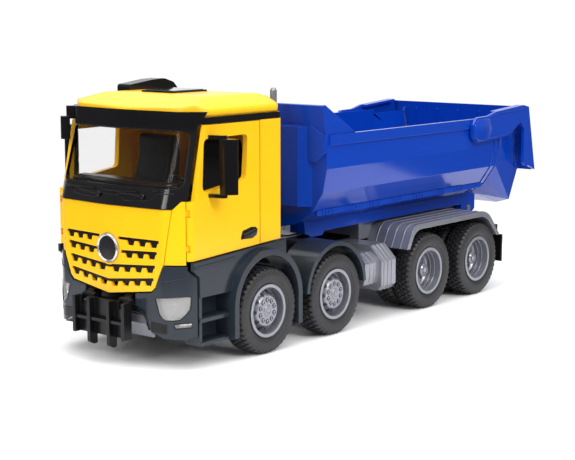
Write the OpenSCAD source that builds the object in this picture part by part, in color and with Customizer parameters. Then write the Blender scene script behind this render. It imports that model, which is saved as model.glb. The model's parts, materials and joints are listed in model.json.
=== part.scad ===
// Toy eight-wheel tipper truck in moulded plastic, about a sixteenth of full size.
// X points forward, Y to the left and Z up. The origin lies on the ground under the middle of the toy.

/* [Wheels] */
// Radius of a tyre over its tread
tyre_r = 34; // [33:0.5:35]
// Radius of the rim's flange
rim_r = 21; // [19:0.5:22]
// Width of a front tyre
front_tyre_w = 22; // [19:0.5:23]
// Width of one tyre of a rear pair
rear_tyre_w = 20; // [17:0.5:20.5]
// Space between the two tyres of a rear pair
twin_gap = 2; // [1:0.5:4]
// How far the tyres stand out beyond the cab's sides
wheel_proud = 7.5; // [6.5:0.5:8.5]
// Radius of an axle's journal
journal_r = 3; // [2.5:0.1:3.5]
// Play between a pin and the bore that turns on it
pin_play = 0.05; // [0.02:0.01:0.09]

/* [Wheelbase] */
// First to second front axle
gap_12 = 86.5; // [84:0.5:96]
// Second front axle to first rear axle
gap_23 = 138.5; // [130:0.5:160]
// First to second rear axle
gap_34 = 81.5; // [78:0.5:92]
// Last axle to the rear edge of the tailgate
rear_overhang = 99.5; // [95:0.5:110]

/* [Cab] */
// First axle to the middle of the cab's nose
nose_x = 96; // [94:0.5:98]
// Cab's nose to the tip of the coupling bracket
bracket_reach = 12; // [10:0.5:16]
// First axle to the cab's rear wall, backwards
cab_back = 25; // [20:0.5:32]
// Half the width of the cab
cab_half_w = 71.5; // [70:0.5:73]
// Thickness of the cab's panels
skin = 3; // [2:0.1:3.5]
// Thickness of a door
door_t = 4.8; // [4:0.1:5.5]
// Height of the cab floor's top
floor_z = 89; // [88.5:0.5:90]
// Height of the line under the side windows
belt_z = 127; // [124:0.5:130]
// Height of the door's top edge
door_top_z = 182.4; // [178:0.2:184]
// Height of the black band between the doors and the roof
band_h = 5; // [4:0.1:6.5]
// Roof's lower edge to its crown
roof_rise = 15.2; // [13:0.1:17]
// Seam between neighbouring panels
seam = 0.5; // [0.3:0.1:0.8]

/* [Bed] */
// Half the width of the bed's trough
bed_half_w = 75; // [73:0.5:75.5]
// Radius of the trough's rounded sides
trough_r = 52; // [45:1:56]
// Space between the subframe and the trough's underside
bed_lift = 6; // [6:0.5:10]
// Trough's underside to the top of the side rails
bed_h = 79.6; // [74:0.2:82]
// Side rails to the top of the front wall
headboard_rise = 25; // [18:0.5:28]
// Thickness of the bed's walls
bed_wall = 2.5; // [2:0.1:3]
// Radius of the bed's hinge pins
hinge_r = 3; // [2.5:0.1:3.5]
// Radius of the tailgate's pivot pins
gate_pin_r = 3; // [2.5:0.1:3.5]

/* [Chassis] */
// Height of the frame rails' top
rail_z = 64; // [62:0.5:66]
// Depth of the frame rails
rail_h = 20; // [16:0.5:22]
// Space between the inner rear tyres and the frame rails
frame_room = 10; // [9.5:0.5:12]
// Thickness of a frame rail
rail_t = 6; // [4:0.5:7]
// Radius of the trailer coupling's bore
coupling_r = 2.6; // [2:0.1:3]

/* [Hidden] */
$fn = 64;
eps = 0.05;
cab_yellow = [0.99, 0.80, 0.10];
slate = [0.27, 0.32, 0.36];
black = [0.09, 0.09, 0.10];
silver = [0.60, 0.61, 0.65];
bed_blue = [0.06, 0.22, 0.70];
charcoal = [0.16, 0.16, 0.17];
lamp_clear = [0.85, 0.85, 0.82];
lamp_red = [0.70, 0.08, 0.06];

// Stations along the truck, measured from the first axle
wheel_half_w = cab_half_w + wheel_proud;
frame_half_w = wheel_half_w - 2 * rear_tyre_w - twin_gap - frame_room;
front_overhang = nose_x + bracket_reach;
axle_x = [0, -gap_12, -gap_12 - gap_23, -gap_12 - gap_23 - gap_34];
tail_x = axle_x[3] - rear_overhang;
middle_x = (front_overhang + tail_x) / 2;
cab_rear_x = -cab_back;
axle_z = tyre_r;

// Frame rails and the subframe that carries the bed
rail_rear_x = axle_x[3] - 40;
rail_front_x = nose_x - 10;
rail_low_z = rail_z - rail_h;
sub_in = frame_half_w - 2;
sub_out = frame_half_w + 8;
sub_top_z = rail_z + 16;
sub_front_x = axle_x[2] + 49;
hinge_x = axle_x[3] - 35.5;
hinge_z = sub_top_z - 4;
ear_y = [sub_out + 1, sub_out + 9];

// Cab and doors
floor_t = 3;
wall_x = nose_x - 13;
scuttle_z = belt_z - 6;
eaves_z = door_top_z + seam + band_h;
crown_z = eaves_z + roof_rise;
roof_edge_z = eaves_z + 5;
rake = 16.7;
drawn_pane_h = 55.4;
pane_lean = (door_top_z - belt_z - drawn_pane_h) * tan(rake);
visor_x = nose_x - 16 - pane_lean;
visor_z = [door_top_z - 4.2, eaves_z + 4.1];
visor_lip = 1;
door_edge_r = 3.4;
door_axis = [nose_x - 18.4, cab_half_w - door_edge_r];
door_rear_x = 3;
door_low_z = floor_z - 6.1;
door_low_slope = 0.0523;
door_front_top_x = nose_x - 32.5 - pane_lean;
knuckle_gap = 0.35;
door_pin_r = 1.2;
ear_r = 1.5;
ear_arm = [10, 2.6];
ear_turn = -50;
door_turn = 60;
ear_z = [floor_z + 1, belt_z - 11];
ear_h = 4.5;
pane_z = [[belt_z + 12, door_top_z - 9.4], [belt_z + 5.6, door_top_z - 10.1]];
pane_r = min(4, (pane_z[0][1] - pane_z[0][0]) / 3);
screen_r = min(5, (door_top_z - belt_z - 14) / 3);
window = [[nose_x - 30 - pane_lean, pane_z[1][1], pane_r], [door_rear_x + 13.5, pane_z[0][1], pane_r],
          [door_rear_x + 16, pane_z[0][0], pane_r], [nose_x - 27.8, pane_z[1][0], pane_r]];
handle = [[5, 6.5, 1.5], [22.5, 4.4, 1.5], [20, 10.2, 1.5], [8, 12.4, 1.5]];
handle_deep = 1.6;
handle_gap = 0.1;
tilt_pin = [nose_x + 0.5, 49.5];
tilt_pin_r = 1.4;
tilt_lug_y = [frame_half_w - 10.2, frame_half_w - 3.8];
tilt_eye_r = 2.8;

// Grille: each row gives the height at its ends, the dip in the middle,
// its half width and where its slots start
grille_rows = [[floor_z + 8.8, 0, cab_half_w - 22, 10], [floor_z + 0.3, 2.2, cab_half_w - 24, 10],
               [floor_z - 10, 3.2, cab_half_w - 26, 0], [floor_z - 19.7, 4.8, cab_half_w - 27.5, 0]];
tooth_pitch = 11;
tooth_h = 3.5;
slot_h = 2.3;
slot_skin = 1.3;
badge_z = floor_z - 0.8;
badge_r = 11.2;
grille_edge = [[cab_half_w - 13, scuttle_z], [cab_half_w - 18.5, floor_z - 9],
    [cab_half_w - 22.7, floor_z - 18.6], [cab_half_w - 25.9, floor_z - 26.5],
    [cab_half_w - 29.5, floor_z - 29.8], [0, floor_z - 35.4]];
insert_edge = [[cab_half_w - 20.5, floor_z + 11], [cab_half_w - 27, floor_z - 26.5]];

// Bed and tailgate
trough_z = sub_top_z + bed_lift;
rail_top_z = trough_z + bed_h;
headboard_z = rail_top_z + headboard_rise;
rail_band_h = 8.6;
side_r = min(trough_r, bed_h - rail_band_h);
trough_facets = 4;
bed_front_x = cab_rear_x - 55;
bed_rear_x = axle_x[3] - 40.5;
mouth_x = bed_rear_x - 50;
rail_lip = 1.5;
gate_pivot = [axle_x[3] + 3.5, rail_top_z - 10.1];
arm_y = [bed_half_w + rail_lip + 0.5, bed_half_w + rail_lip + 3.7];

WHEELS = [for (i = [1:4]) for (side = ["left", "right"]) [i, side]];

// Outlines and placing

function unit(v) = v / norm(v);

// Points of the arc that rounds corner c between its neighbours p and n
function corner_arc(p, c, n, r, steps) =
    let (u = unit(p - c), v = unit(n - c), half = acos(u * v) / 2, m = c + unit(u + v) * r / sin(half),
         a = c + u * r / tan(half) - m, b = c + v * r / tan(half) - m,
         turn = atan2(a[0] * b[1] - a[1] * b[0], a * b), start = atan2(a[1], a[0]))
    [for (i = [0:steps]) m + r * [cos(start + turn * i / steps), sin(start + turn * i / steps)]];

// Closed outline from rows of [first, second, corner radius]
function rounded(rows, steps = 5) = [for (i = [0:len(rows) - 1])
    let (c = rows[i], p = rows[(i + len(rows) - 1) % len(rows)], n = rows[(i + 1) % len(rows)])
    each c[2] > 0 ? corner_arc([p[0], p[1]], [c[0], c[1]], [n[0], n[1]], c[2], steps) : [[c[0], c[1]]]];

// A half outline and its mirror image in coordinate k, as one closed outline
function both_halves(half, k = 0) = concat(half, [for (i = [len(half) - 1:-1:0]) if (half[i][k] != 0)
    [for (j = [0:len(half[i]) - 1]) j == k ? -half[i][j] : half[i][j]]]);

module from_axle_1() translate([-middle_x, 0, 0]) children();
module across(y0, y1) translate([0, y1, 0]) rotate([90, 0, 0]) linear_extrude(y1 - y0) children();
module along(x0, x1) translate([x0, 0, 0]) rotate([90, 0, 90]) linear_extrude(x1 - x0) children();
module upright(z0, z1) translate([0, 0, z0]) linear_extrude(z1 - z0) children();
module block(low, high) translate(low) cube(high - low);
module rod_y(x, z, r, y0, y1) translate([x, y0, z]) rotate([-90, 0, 0]) cylinder(r = r, h = y1 - y0);
module both_sides() {
    children();
    mirror([0, 1, 0]) children();
}
module on_side(side) mirror([0, side == "left" ? 0 : 1, 0]) children();

// Wheels

function single_mid() = wheel_half_w - front_tyre_w / 2;
function twin_mids() = [wheel_half_w - rear_tyre_w / 2, wheel_half_w - rear_tyre_w * 1.5 - twin_gap];

// Half width of the bead seat on a rim under a tyre of width w
function seat_half(w) = w / 2 - 2.6;

// One tyre, turned about the Y axis with its middle at y
module tyre_ring(w, y) {
    bead_r = rim_r - 0.4;
    wall_h = tyre_r - bead_r;
    translate([0, y, 0]) rotate([90, 0, 0]) rotate_extrude()
        polygon(rounded(both_halves([[bead_r, seat_half(w), 0], [bead_r + 2.5, w / 2 - 1.2, 2],
        [bead_r + min(6, 0.45 * wall_h), w / 2, min(4, 0.3 * wall_h)], [tyre_r - 2, w / 2 - 0.6, 2],
        [tyre_r - 0.5, w / 2 - 2.4, 1], [tyre_r, w / 6, 0]], 1), 3));
}

// Outer face of a rim from y0 to y1: flange, bead seat, flange
function rim_face(y0, y1) = [[rim_r, y0], [rim_r, y0 + 1], [rim_r - 0.45, y0 + 1], [rim_r - 0.45, y1 - 1],
                             [rim_r, y1 - 1], [rim_r, y1]];

// Where the flanges of the rim under a tyre of width w end, with the tyre's middle at y
function rim_ends(w, y) = [y - seat_half(w) - 1.4, y + seat_half(w) + 1.4];

module front_rim() {
    ends = rim_ends(front_tyre_w, single_mid());
    wall_r = rim_r - 2.6;
    disc_r = rim_r * 0.56;
    disc_y = ends[1] - 1.2;
    ring_y = disc_y - 7.5;
    web = 3;
    holes = 10;
    hole_r = 2;
    hole_ends = [disc_r + 2.3, wall_r - 2.4];
    hub_r = 5.2;
    hub_in = ends[0] + 0.5;
    difference() {
        rotate([-90, 0, 0]) rotate_extrude()
            polygon(concat([[0, hub_in], [hub_r, hub_in], [hub_r, disc_y - web],
            [disc_r - 0.6, disc_y - web], [wall_r - 2.6, ring_y - web], [wall_r, ring_y - web],
            [wall_r, ends[0]]], rim_face(ends[0], ends[1]), [[wall_r, ends[1]], [wall_r, ring_y],
            [wall_r - 1.6, ring_y], [disc_r + 0.8, disc_y - 0.8], [disc_r, disc_y],
            [hub_r - 0.6, disc_y], [hub_r - 1.2, disc_y + 0.9], [0, disc_y + 1.2]]));
        rotate([-90, 0, 0]) cylinder(r = journal_r + pin_play, h = disc_y - 1);
        for (i = [0:holes - 1]) rotate([0, i * 360 / holes, 0])
            for (r = hole_ends) rod_y(r, 0, hole_r, ring_y - web - 1, ends[1]);
    }
}

module rear_rim() {
    mids = twin_mids();
    outer = rim_ends(rear_tyre_w, mids[0]);
    inner = rim_ends(rear_tyre_w, mids[1]);
    wall_r = rim_r - 2.6;
    step_r = wall_r - 1.6;
    disc_y = outer[1] - 15;
    web = 3;
    holes = 8;
    hole_r = 2;
    hub_r = 6.4;
    hub_out = outer[1] - 4.5;
    difference() {
        rotate([-90, 0, 0]) rotate_extrude()
            polygon(concat([[0, inner[0]], [hub_r, inner[0]], [hub_r, disc_y - web],
            [wall_r, disc_y - web], [wall_r, inner[0]]], rim_face(inner[0], inner[1]),
            [[rim_r - 1, inner[1]], [rim_r - 1, outer[0]]], rim_face(outer[0], outer[1]),
            [[wall_r, outer[1]], [wall_r, disc_y + 9], [wall_r - 0.8, disc_y + 9],
            [wall_r - 0.8, disc_y + 5], [step_r, disc_y + 5], [step_r, disc_y + 1.5],
            [step_r - 1.2, disc_y], [hub_r + 2, disc_y], [hub_r, disc_y + 2.5],
            [hub_r - 0.6, hub_out - 1.2], [hub_r - 2, hub_out], [0, hub_out]]));
        rotate([-90, 0, 0]) cylinder(r = journal_r + pin_play, h = hub_out - 2);
        for (i = [0:holes - 1]) rotate([0, i * 360 / holes, 0])
            rod_y((hub_r + step_r) / 2 + 0.8, 0, hole_r, disc_y - web - 1, disc_y + 3);
    }
}

module tyre(i, side) color(charcoal) from_axle_1() on_side(side) translate([axle_x[i - 1], 0, axle_z]) {
    if (i <= 2) tyre_ring(front_tyre_w, single_mid());
    else for (y = twin_mids()) tyre_ring(rear_tyre_w, y);
}

module rim(i, side) color(silver) from_axle_1() on_side(side) translate([axle_x[i - 1], 0, axle_z]) {
    if (i <= 2) front_rim();
    else rear_rim();
}

// Chassis

module chassis_frame() color(black) from_axle_1() {
    member_x = [rail_front_x - 8, 40, axle_x[1] + 38, axle_x[1] - 48, axle_x[2] + 40,
        axle_x[3] + gap_34 / 2 - 4, rail_rear_x];
    member_l = 8;
    member_z = [rail_low_z + 2, rail_low_z + 12];
    rest_x = [cab_rear_x + 5, cab_rear_x + 15];
    rest_z = floor_z - floor_t - 0.1;
    both_sides() block([rail_rear_x, frame_half_w - rail_t, rail_low_z],
        [rail_front_x, frame_half_w, rail_z]);
    for (x = member_x) block([x, -frame_half_w + rail_t - eps, member_z[0]],
                             [x + member_l, frame_half_w - rail_t + eps, member_z[1]]);
    both_sides() block([rest_x[0], frame_half_w - rail_t, rail_z - eps], [rest_x[1], frame_half_w, rest_z]);
}

module subframe() color(silver) from_axle_1() {
    rear_x = hinge_x - 8;
    bar_l = 7;
    pin_out = ear_y[1] + 1.2;
    both_sides() {
        block([rear_x, sub_in, rail_z], [sub_front_x, sub_out, sub_top_z]);
        rod_y(hinge_x, hinge_z, hinge_r, sub_out - eps, pin_out);
    }
    for (x = [rear_x, sub_front_x - bar_l])
        block([x, -sub_in - eps, rail_z + 3], [x + bar_l, sub_in + eps, sub_top_z - 5]);
}

// Beam with a journal at each end and a block under each frame rail
module axle(x, beam_half, journal_half) translate([x, 0, 0]) {
    beam = [10, 8];
    seat_l = 14;
    block([-beam[0] / 2, -beam_half, axle_z - beam[1] / 2], [beam[0] / 2, beam_half, axle_z + beam[1] / 2]);
    both_sides() {
        rod_y(0, axle_z, journal_r, beam_half - eps, journal_half);
        block([-seat_l / 2, frame_half_w - rail_t, axle_z - eps], [seat_l / 2, frame_half_w, rail_low_z]);
    }
}

module front_axles() color(black) from_axle_1() {
    beam_half = single_mid() - front_tyre_w / 2 - 0.5;
    journal_half = single_mid() + seat_half(front_tyre_w) - 1.6;
    for (i = [0, 1]) axle(axle_x[i], beam_half, journal_half);
}

module rear_axles() color(black) from_axle_1() {
    beam_half = twin_mids()[1] - rear_tyre_w / 2 - 1;
    journal_half = twin_mids()[0] - 3;
    for (i = [2, 3]) axle(axle_x[i], beam_half, journal_half);
}

module engine() color(charcoal) from_axle_1() {
    half_w = frame_half_w - rail_t - 1;
    low_z = rail_low_z + 12;
    top_z = floor_z - floor_t - 3;
    across(-half_w, half_w) polygon(rounded([[-8, low_z, 2], [-8, top_z - 8, 6], [6, top_z, 4],
        [58, top_z, 4], [72, low_z + 14, 4], [72, low_z, 2]]));
}

// Upright pipe behind the cab, on a foot that sits on the left frame rail
module stack_pipe() color(silver) from_axle_1() {
    pipe_x = cab_rear_x - 28;
    pipe_y = wheel_half_w - 40;
    pipe_r = 2.8;
    foot_half = 4;
    foot_top_z = rail_z + 6;
    pipe_h = crown_z + 0.8 - foot_top_z;
    block([pipe_x - foot_half, frame_half_w - rail_t, rail_z],
        [pipe_x + foot_half, pipe_y + foot_half, foot_top_z]);
    translate([pipe_x, pipe_y, foot_top_z - eps]) rotate_extrude() polygon([[0, 0], [pipe_r + 0.8, 0],
        [pipe_r + 0.8, 30], [pipe_r, 34], [pipe_r, pipe_h - 2], [pipe_r - 1.2, pipe_h], [0, pipe_h]]);
}

// Plan of the cab's nose at front station f, moved in by d
module cab_plan(d = 0, f = nose_x, w = cab_half_w) polygon(rounded(both_halves([[f - d, 0, 150],
    [f - 4.5 - d, w - 17.5 - d * 0.6, 14], [f - 19 - d * 0.4, w - d, 14], [cab_rear_x + d, w - d, 4]], 1)));

module plan_ring(d0, d1, f = nose_x, w = cab_half_w) difference() {
    cab_plan(d0, f, w);
    cab_plan(d1, f, w);
}

// Front view of the grille panel, grown by g
module grille_outline(g = 0) polygon(both_halves([for (p = grille_edge)
    [p[0] == 0 ? 0 : p[0] + g, p[1] == scuttle_z ? p[1] + g : p[1] - g * 1.1]]));

bumper_x = nose_x + 1;
bumper_half_w = cab_half_w + 1;
bumper_top_z = door_low_z - 3.9;
bumper_rear_x = nose_x - 21;
bumper_t = 4;
bumper_low_z = 23.5;
opening_half = bumper_half_w - 32.5;
cab_low_z = bumper_top_z + 0.8;
lamp_edge = [for (p = [[26, 54.5, 1], [2.7, 56.5, 1], [3.1, 47, 3], [8.5, 39, 4], [17.5, 38, 3],
    [22.5, 43, 2]])
    [bumper_half_w - p[0], p[1], p[2]]];
small_lamp_edge = [for (p = [[11.5, 32, 0.8], [2.5, 33, 0.8], [2.5, 37, 0.8], [12.5, 36, 0.8]])
    [bumper_half_w - p[0], p[1], p[2]]];
bumper_bar = [nose_x - 8, nose_x - 3.5];
bumper_bar_z = [40, 45];

// Side view of the bumper's rear edge
bumper_seam = [[bumper_rear_x, bumper_low_z - 10], [bumper_rear_x, bumper_top_z - 9],
               [bumper_rear_x + 6.3, bumper_top_z - 3.4], [bumper_rear_x + 6.3, bumper_top_z + 10]];

module front_bumper() color(slate) from_axle_1() {
    outline = both_halves([[bumper_half_w + 2, bumper_top_z], [bumper_half_w + 2, bumper_low_z + 3.5],
        [bumper_half_w - 6.5, bumper_low_z], [bumper_half_w - 20.5, bumper_low_z + 1.5],
        [opening_half, bumper_low_z + 7.5], [opening_half - 4, bumper_bar_z[1]],
        [frame_half_w, bumper_bar_z[1] + 2], [frame_half_w, bumper_top_z]]);
    difference() {
        intersection() {
            upright(bumper_low_z - 3, bumper_top_z) plan_ring(0, bumper_t, bumper_x, bumper_half_w);
            along(bumper_rear_x, bumper_x + 5) polygon(outline);
            across(-100, 100) polygon(concat(bumper_seam,
                [[bumper_x + 5, bumper_top_z + 10], [bumper_x + 5, 0]]));
        }
        along(0, bumper_x + 5) grille_outline(0.8);
        along(0, bumper_x + 5) both_sides_flat() lamp_flat(lamp_edge, 0.1);
        along(0, bumper_x + 5) both_sides_flat() lamp_flat(small_lamp_edge, 0.1);
        along(bumper_x - 30, bumper_x + 5) both_sides_flat() translate([bumper_half_w - 22.5,
            bumper_low_z + 8])
            polygon([[-5, -1.5], [5, -3], [3, 2.5], [-3, 3.5]]);
    }
    block([bumper_bar[0], -opening_half - 2, bumper_bar_z[0]], [bumper_bar[1], opening_half + 2,
        bumper_bar_z[1]]);
    both_sides() {
        block([rail_front_x, frame_half_w - rail_t, bumper_bar_z[0]],
            [bumper_bar[0] + eps, frame_half_w, rail_z - 6]);
        block([bumper_bar[0] - 2, opening_half - 4, bumper_bar_z[0] - 8],
            [bumper_bar[1], opening_half + 6, 50]);
    }
}

// Sloping plate that hangs under the bumper's bar
module skid_plate() color(silver) from_axle_1() across(-opening_half + 5, opening_half - 5)
    polygon([[bumper_bar[0] + 0.5, bumper_bar_z[0]], [bumper_bar[0] + 3, bumper_bar_z[0]],
    [bumper_bar[0] + 3, bumper_bar_z[0] - 7], [bumper_bar[0] - 4, bumper_low_z - 2],
    [bumper_bar[0] - 6, bumper_low_z - 1], [bumper_bar[0] + 0.5, bumper_bar_z[0] - 6.5]]);

module both_sides_flat() {
    children();
    mirror([1, 0]) children();
}

module lamp_flat(edge, g) offset(delta = g) polygon(rounded(edge, 3));

module headlamps() color(lamp_clear) from_axle_1() both_sides() {
    for (edge = [lamp_edge, small_lamp_edge]) intersection() {
        upright(bumper_low_z, bumper_top_z) plan_ring(0.3, bumper_t - 0.6, bumper_x, bumper_half_w);
        along(bumper_rear_x, bumper_x + 5) lamp_flat(edge, 0);
    }
}

// Finned bracket in front of the bumper, with the ears that carry the cab's tilting pins
module coupling_bracket() color(black) from_axle_1() {
    plate = [nose_x + 4, nose_x + 6.5];
    plate_half = 28;
    plate_z = [22, 50];
    fin_y = [-26.5, -10.5, 10.5, 26.5];
    fin_t = 3;
    prong_low_z = 14;
    web_z = [33, 35.5];
    notch = 0.3;
    difference() {
        union() {
            block([plate[0], -plate_half, plate_z[0]], [plate[1], plate_half, plate_z[1]]);
            for (y = fin_y) block([plate[0], y - fin_t / 2, plate_z[0]],
                [front_overhang, y + fin_t / 2, plate_z[1]]);
            for (s = [-1, 1]) across(s * 10.5 - fin_t / 2, s * 10.5 + fin_t / 2)
                polygon(rounded([[plate[0], 30, 0], [front_overhang, 30, 0],
                [front_overhang, prong_low_z + 2, 2], [front_overhang - 4, prong_low_z, 1.5],
                [plate[0], prong_low_z, 1.5]], 3));
            block([plate[0], -plate_half, web_z[0]], [front_overhang - 1, plate_half, web_z[1]]);
            block([bumper_bar[1], -12, bumper_bar_z[0] - 4], [plate[0] + eps, 12, bumper_bar_z[1] + 1]);
        }
        for (s = [0, 1]) mirror([0, s, 0])
            block([plate[0] - 1, tilt_lug_y[0] - notch, 44], [front_overhang + 1, tilt_lug_y[1] + notch, 60]);
    }
    both_sides() {
        for (y = [[tilt_lug_y[0] - 3.2, tilt_lug_y[0] - notch], [tilt_lug_y[1] + notch, tilt_lug_y[1] + 2.8]])
            across(y[0], y[1]) union() {
                translate(tilt_pin) circle(tilt_eye_r);
                translate([tilt_pin[0], tilt_pin[1] - tilt_eye_r]) square([plate[0] + eps - tilt_pin[0],
                    tilt_eye_r * 1.5]);
            }
        rod_y(tilt_pin[0], tilt_pin[1], tilt_pin_r, tilt_lug_y[0] - 3.2, tilt_lug_y[1] + 2.8);
    }
}

// Arch band around a wheel, seen from the side
module arch_band(x, z, r_in, r_out, low_front, low_rear) difference() {
    union() {
        translate([x, z]) circle(r_out);
        translate([x, low_front]) square([r_out, z - low_front]);
        translate([x - r_out, low_rear]) square([r_out, z - low_rear]);
    }
    translate([x, z]) circle(r_in);
    translate([x - r_in, low_front - 30]) square([2 * r_in, z - low_front + 30]);
    translate([x - r_out - 1, low_rear - 60]) square([r_out + 1, 60]);
    translate([x, low_front - 60]) square([r_out + 1, 60]);
}

fender_y = wheel_half_w + 0.5;
sill_y = cab_half_w + 2;

function door_low(x) = door_low_z + (door_axis[0] - x) * door_low_slope;

front_arch = [0.5, tyre_r + 8];
front_arch_r = [tyre_r + 2, tyre_r + 7];
step_x = [front_arch[0] + front_arch_r[1] - 1, nose_x - 22];
step_in = single_mid() - front_tyre_w / 2 + 1;
step_z = [18, 36];
sill_low_z = 55;

module front_fenders() color(slate) from_axle_1() both_sides() {
    gap = 0.9;
    strip = 1.4;
    rear_x = cab_rear_x - 2;
    across(step_in, fender_y) arch_band(front_arch[0], front_arch[1], front_arch_r[0], front_arch_r[1],
        step_z[0] + 1, step_z[0]);
    across(sill_y - skin, sill_y) difference() {
        polygon([[nose_x - 15.5, door_low(nose_x - 15.5) - gap], [rear_x, door_low(rear_x) - gap],
            [rear_x, sill_low_z + 11], [0, sill_low_z], [step_x[1] - 0.5, sill_low_z],
            [step_x[1], bumper_top_z - 8.5], [nose_x - 15.5, bumper_top_z - 3]]);
        translate(front_arch) circle(front_arch_r[0] + 1);
    }
    across(sill_y - 0.5, sill_y + 0.7) polygon([for (p = [[nose_x - 17, 0], [34, 0], [34, -strip],
        [nose_x - 17, -strip]])
        [p[0], door_low(p[0]) - 4.2 + p[1]]]);
    across(step_in, sill_y - skin + eps) polygon([[step_x[0], sill_low_z], [step_x[1] - 1, sill_low_z],
        [step_x[1] - 1, sill_low_z + 4], [step_x[0], sill_low_z + 4]]);
    for (x = [front_arch[0] + front_arch_r[1] - 0.5, front_arch[0] - front_arch_r[1]])
        block([x, frame_half_w, rail_z - 8], [x + 5, step_in + 4, rail_z - 2]);
}

// Boxed steps under each door, between the fender and the bumper
module cab_steps() color(slate) from_axle_1() both_sides() {
    tread_t = 3;
    front_x = step_x[1] - 0.2;
    rear_x = step_x[0] + 1.2;
    block([rear_x, step_in, step_z[0]], [front_x, step_in + 2.5, sill_low_z]);
    block([front_x - 3, step_in, step_z[0]], [front_x, sill_y - 1, sill_low_z]);
    for (z = step_z) block([rear_x, step_in, z], [front_x, sill_y, z + tread_t]);
}

module second_fenders() color(slate) from_axle_1() both_sides() {
    arch = [axle_x[1], tyre_r + 4];
    r_in = tyre_r + 2.5;
    r_out = tyre_r + 6;
    low_z = arch[1] + 2;
    inner_y = wheel_half_w - 32;
    bracket_x = [arch[0] - 6, arch[0] + 6];
    bracket_top_z = arch[1] + r_in + 1;
    across(inner_y, fender_y) intersection() {
        arch_band(arch[0], arch[1], r_in, r_out, low_z - 5, low_z - 5);
        translate([arch[0] - 60, low_z]) square([120, 60]);
    }
    block([bracket_x[0], frame_half_w, bracket_top_z - 3], [bracket_x[1], inner_y + eps, bracket_top_z]);
    block([bracket_x[0], frame_half_w, rail_z - 14], [bracket_x[1], frame_half_w + 3, bracket_top_z]);
}

module side_tanks() color(silver) from_axle_1() both_sides() {
    front_x = axle_x[1] - 44.5;
    mid_x = front_x - 20;
    rear_x = mid_x - 21;
    out_y = wheel_half_w - 4;
    along(mid_x, front_x) polygon(rounded([[frame_half_w, 33, 0], [out_y - 2, 33, 2], [out_y, 40, 2],
        [out_y, 54, 4], [out_y - 9, 60, 3], [frame_half_w, 60, 0]], 3));
    along(rear_x, mid_x + eps)
        polygon(rounded([[frame_half_w, 26.5, 0], [out_y - 1, 26.5, 2], [out_y + 3, 31, 2],
        [out_y + 3, 53, 2], [out_y - 9, 65, 3], [frame_half_w, 65, 0]], 3));
}

guard_t = 2.6;
guard_x = [axle_x[3] - 35, axle_x[2] + 38];
guard_z = [53, 58, sub_top_z - 2];

// Side view of the rear mudguards' outer face, moved in by d and closed at height low
function guard_rows(d, low) = rounded([[guard_x[1] - d, low, 0], [guard_x[1] - d, guard_z[1], 3],
    [guard_x[1] - 10 - d * 0.6, guard_z[2] - d, 14], [guard_x[0] + 22 + d * 0.5, guard_z[2] - d, 24],
    [guard_x[0] + d, guard_z[0], 0], [guard_x[0] + d, low, 0]], 6);

module guard_band(d0, d1) difference() {
    polygon(guard_rows(d0, 40));
    polygon(guard_rows(d1, 30));
    translate([guard_x[1] - 60, 0]) square([80, guard_z[1]]);
    translate([guard_x[0] - 20, 0]) square([80, guard_z[0]]);
}

module rear_mudguards() color(silver) from_axle_1() both_sides() {
    ridge = [1, 0.6];
    ridge_y = [for (i = [0:3]) sub_out + 9 + i * 9];
    across(sub_out, wheel_half_w + 1) guard_band(0, guard_t);
    for (y = ridge_y) across(y, y + ridge[0]) guard_band(-ridge[1], guard_t / 2);
    across(wheel_half_w - 0.5, wheel_half_w + 1) guard_band(-ridge[1], guard_t + 1.5);
}

module rear_lamp_bar() color(black) from_axle_1() {
    bar_x = [rail_rear_x - 5, rail_rear_x];
    bar_half = wheel_half_w - 7;
    bar_z = [52, 61];
    flap_z = 26;
    jaw_r = 5;
    jaw_x = bar_x[0] - 3.5;
    jaw_z = [44, 54];
    difference() {
        union() {
            block([bar_x[0], -bar_half, bar_z[0]], [bar_x[1], bar_half, bar_z[1]]);
            both_sides() block([bar_x[1] - 3, bar_half - 32, flap_z],
                [bar_x[1] - 1, wheel_half_w, bar_z[0] + eps]);
            block([jaw_x, -jaw_r, jaw_z[0]], [bar_x[1], jaw_r, jaw_z[1]]);
            translate([jaw_x, 0, jaw_z[0]]) cylinder(r = jaw_r, h = jaw_z[1] - jaw_z[0]);
        }
        translate([jaw_x, 0, jaw_z[0] - 1]) cylinder(r = coupling_r, h = jaw_z[1] - jaw_z[0] + 2);
    }
}

module tail_lamps() color(lamp_red) from_axle_1() both_sides() {
    x = rail_rear_x - 5;
    along(x - 2, x) translate([wheel_half_w - 20, 56.5]) polygon(rounded(both_halves([[11, 3.5, 1],
        [11, -3.5, 1]]), 3));
}

// Cab

module cab_floor() color(black) from_axle_1() {
    half_w = cab_half_w - door_t - 0.4;
    block([cab_rear_x + skin + 0.2, -half_w, floor_z - floor_t], [wall_x - 12, half_w, floor_z]);
    block([wall_x - 12 - eps, -half_w + 8.3, floor_z - floor_t], [wall_x - 0.1, half_w - 8.3, floor_z]);
}

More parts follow.
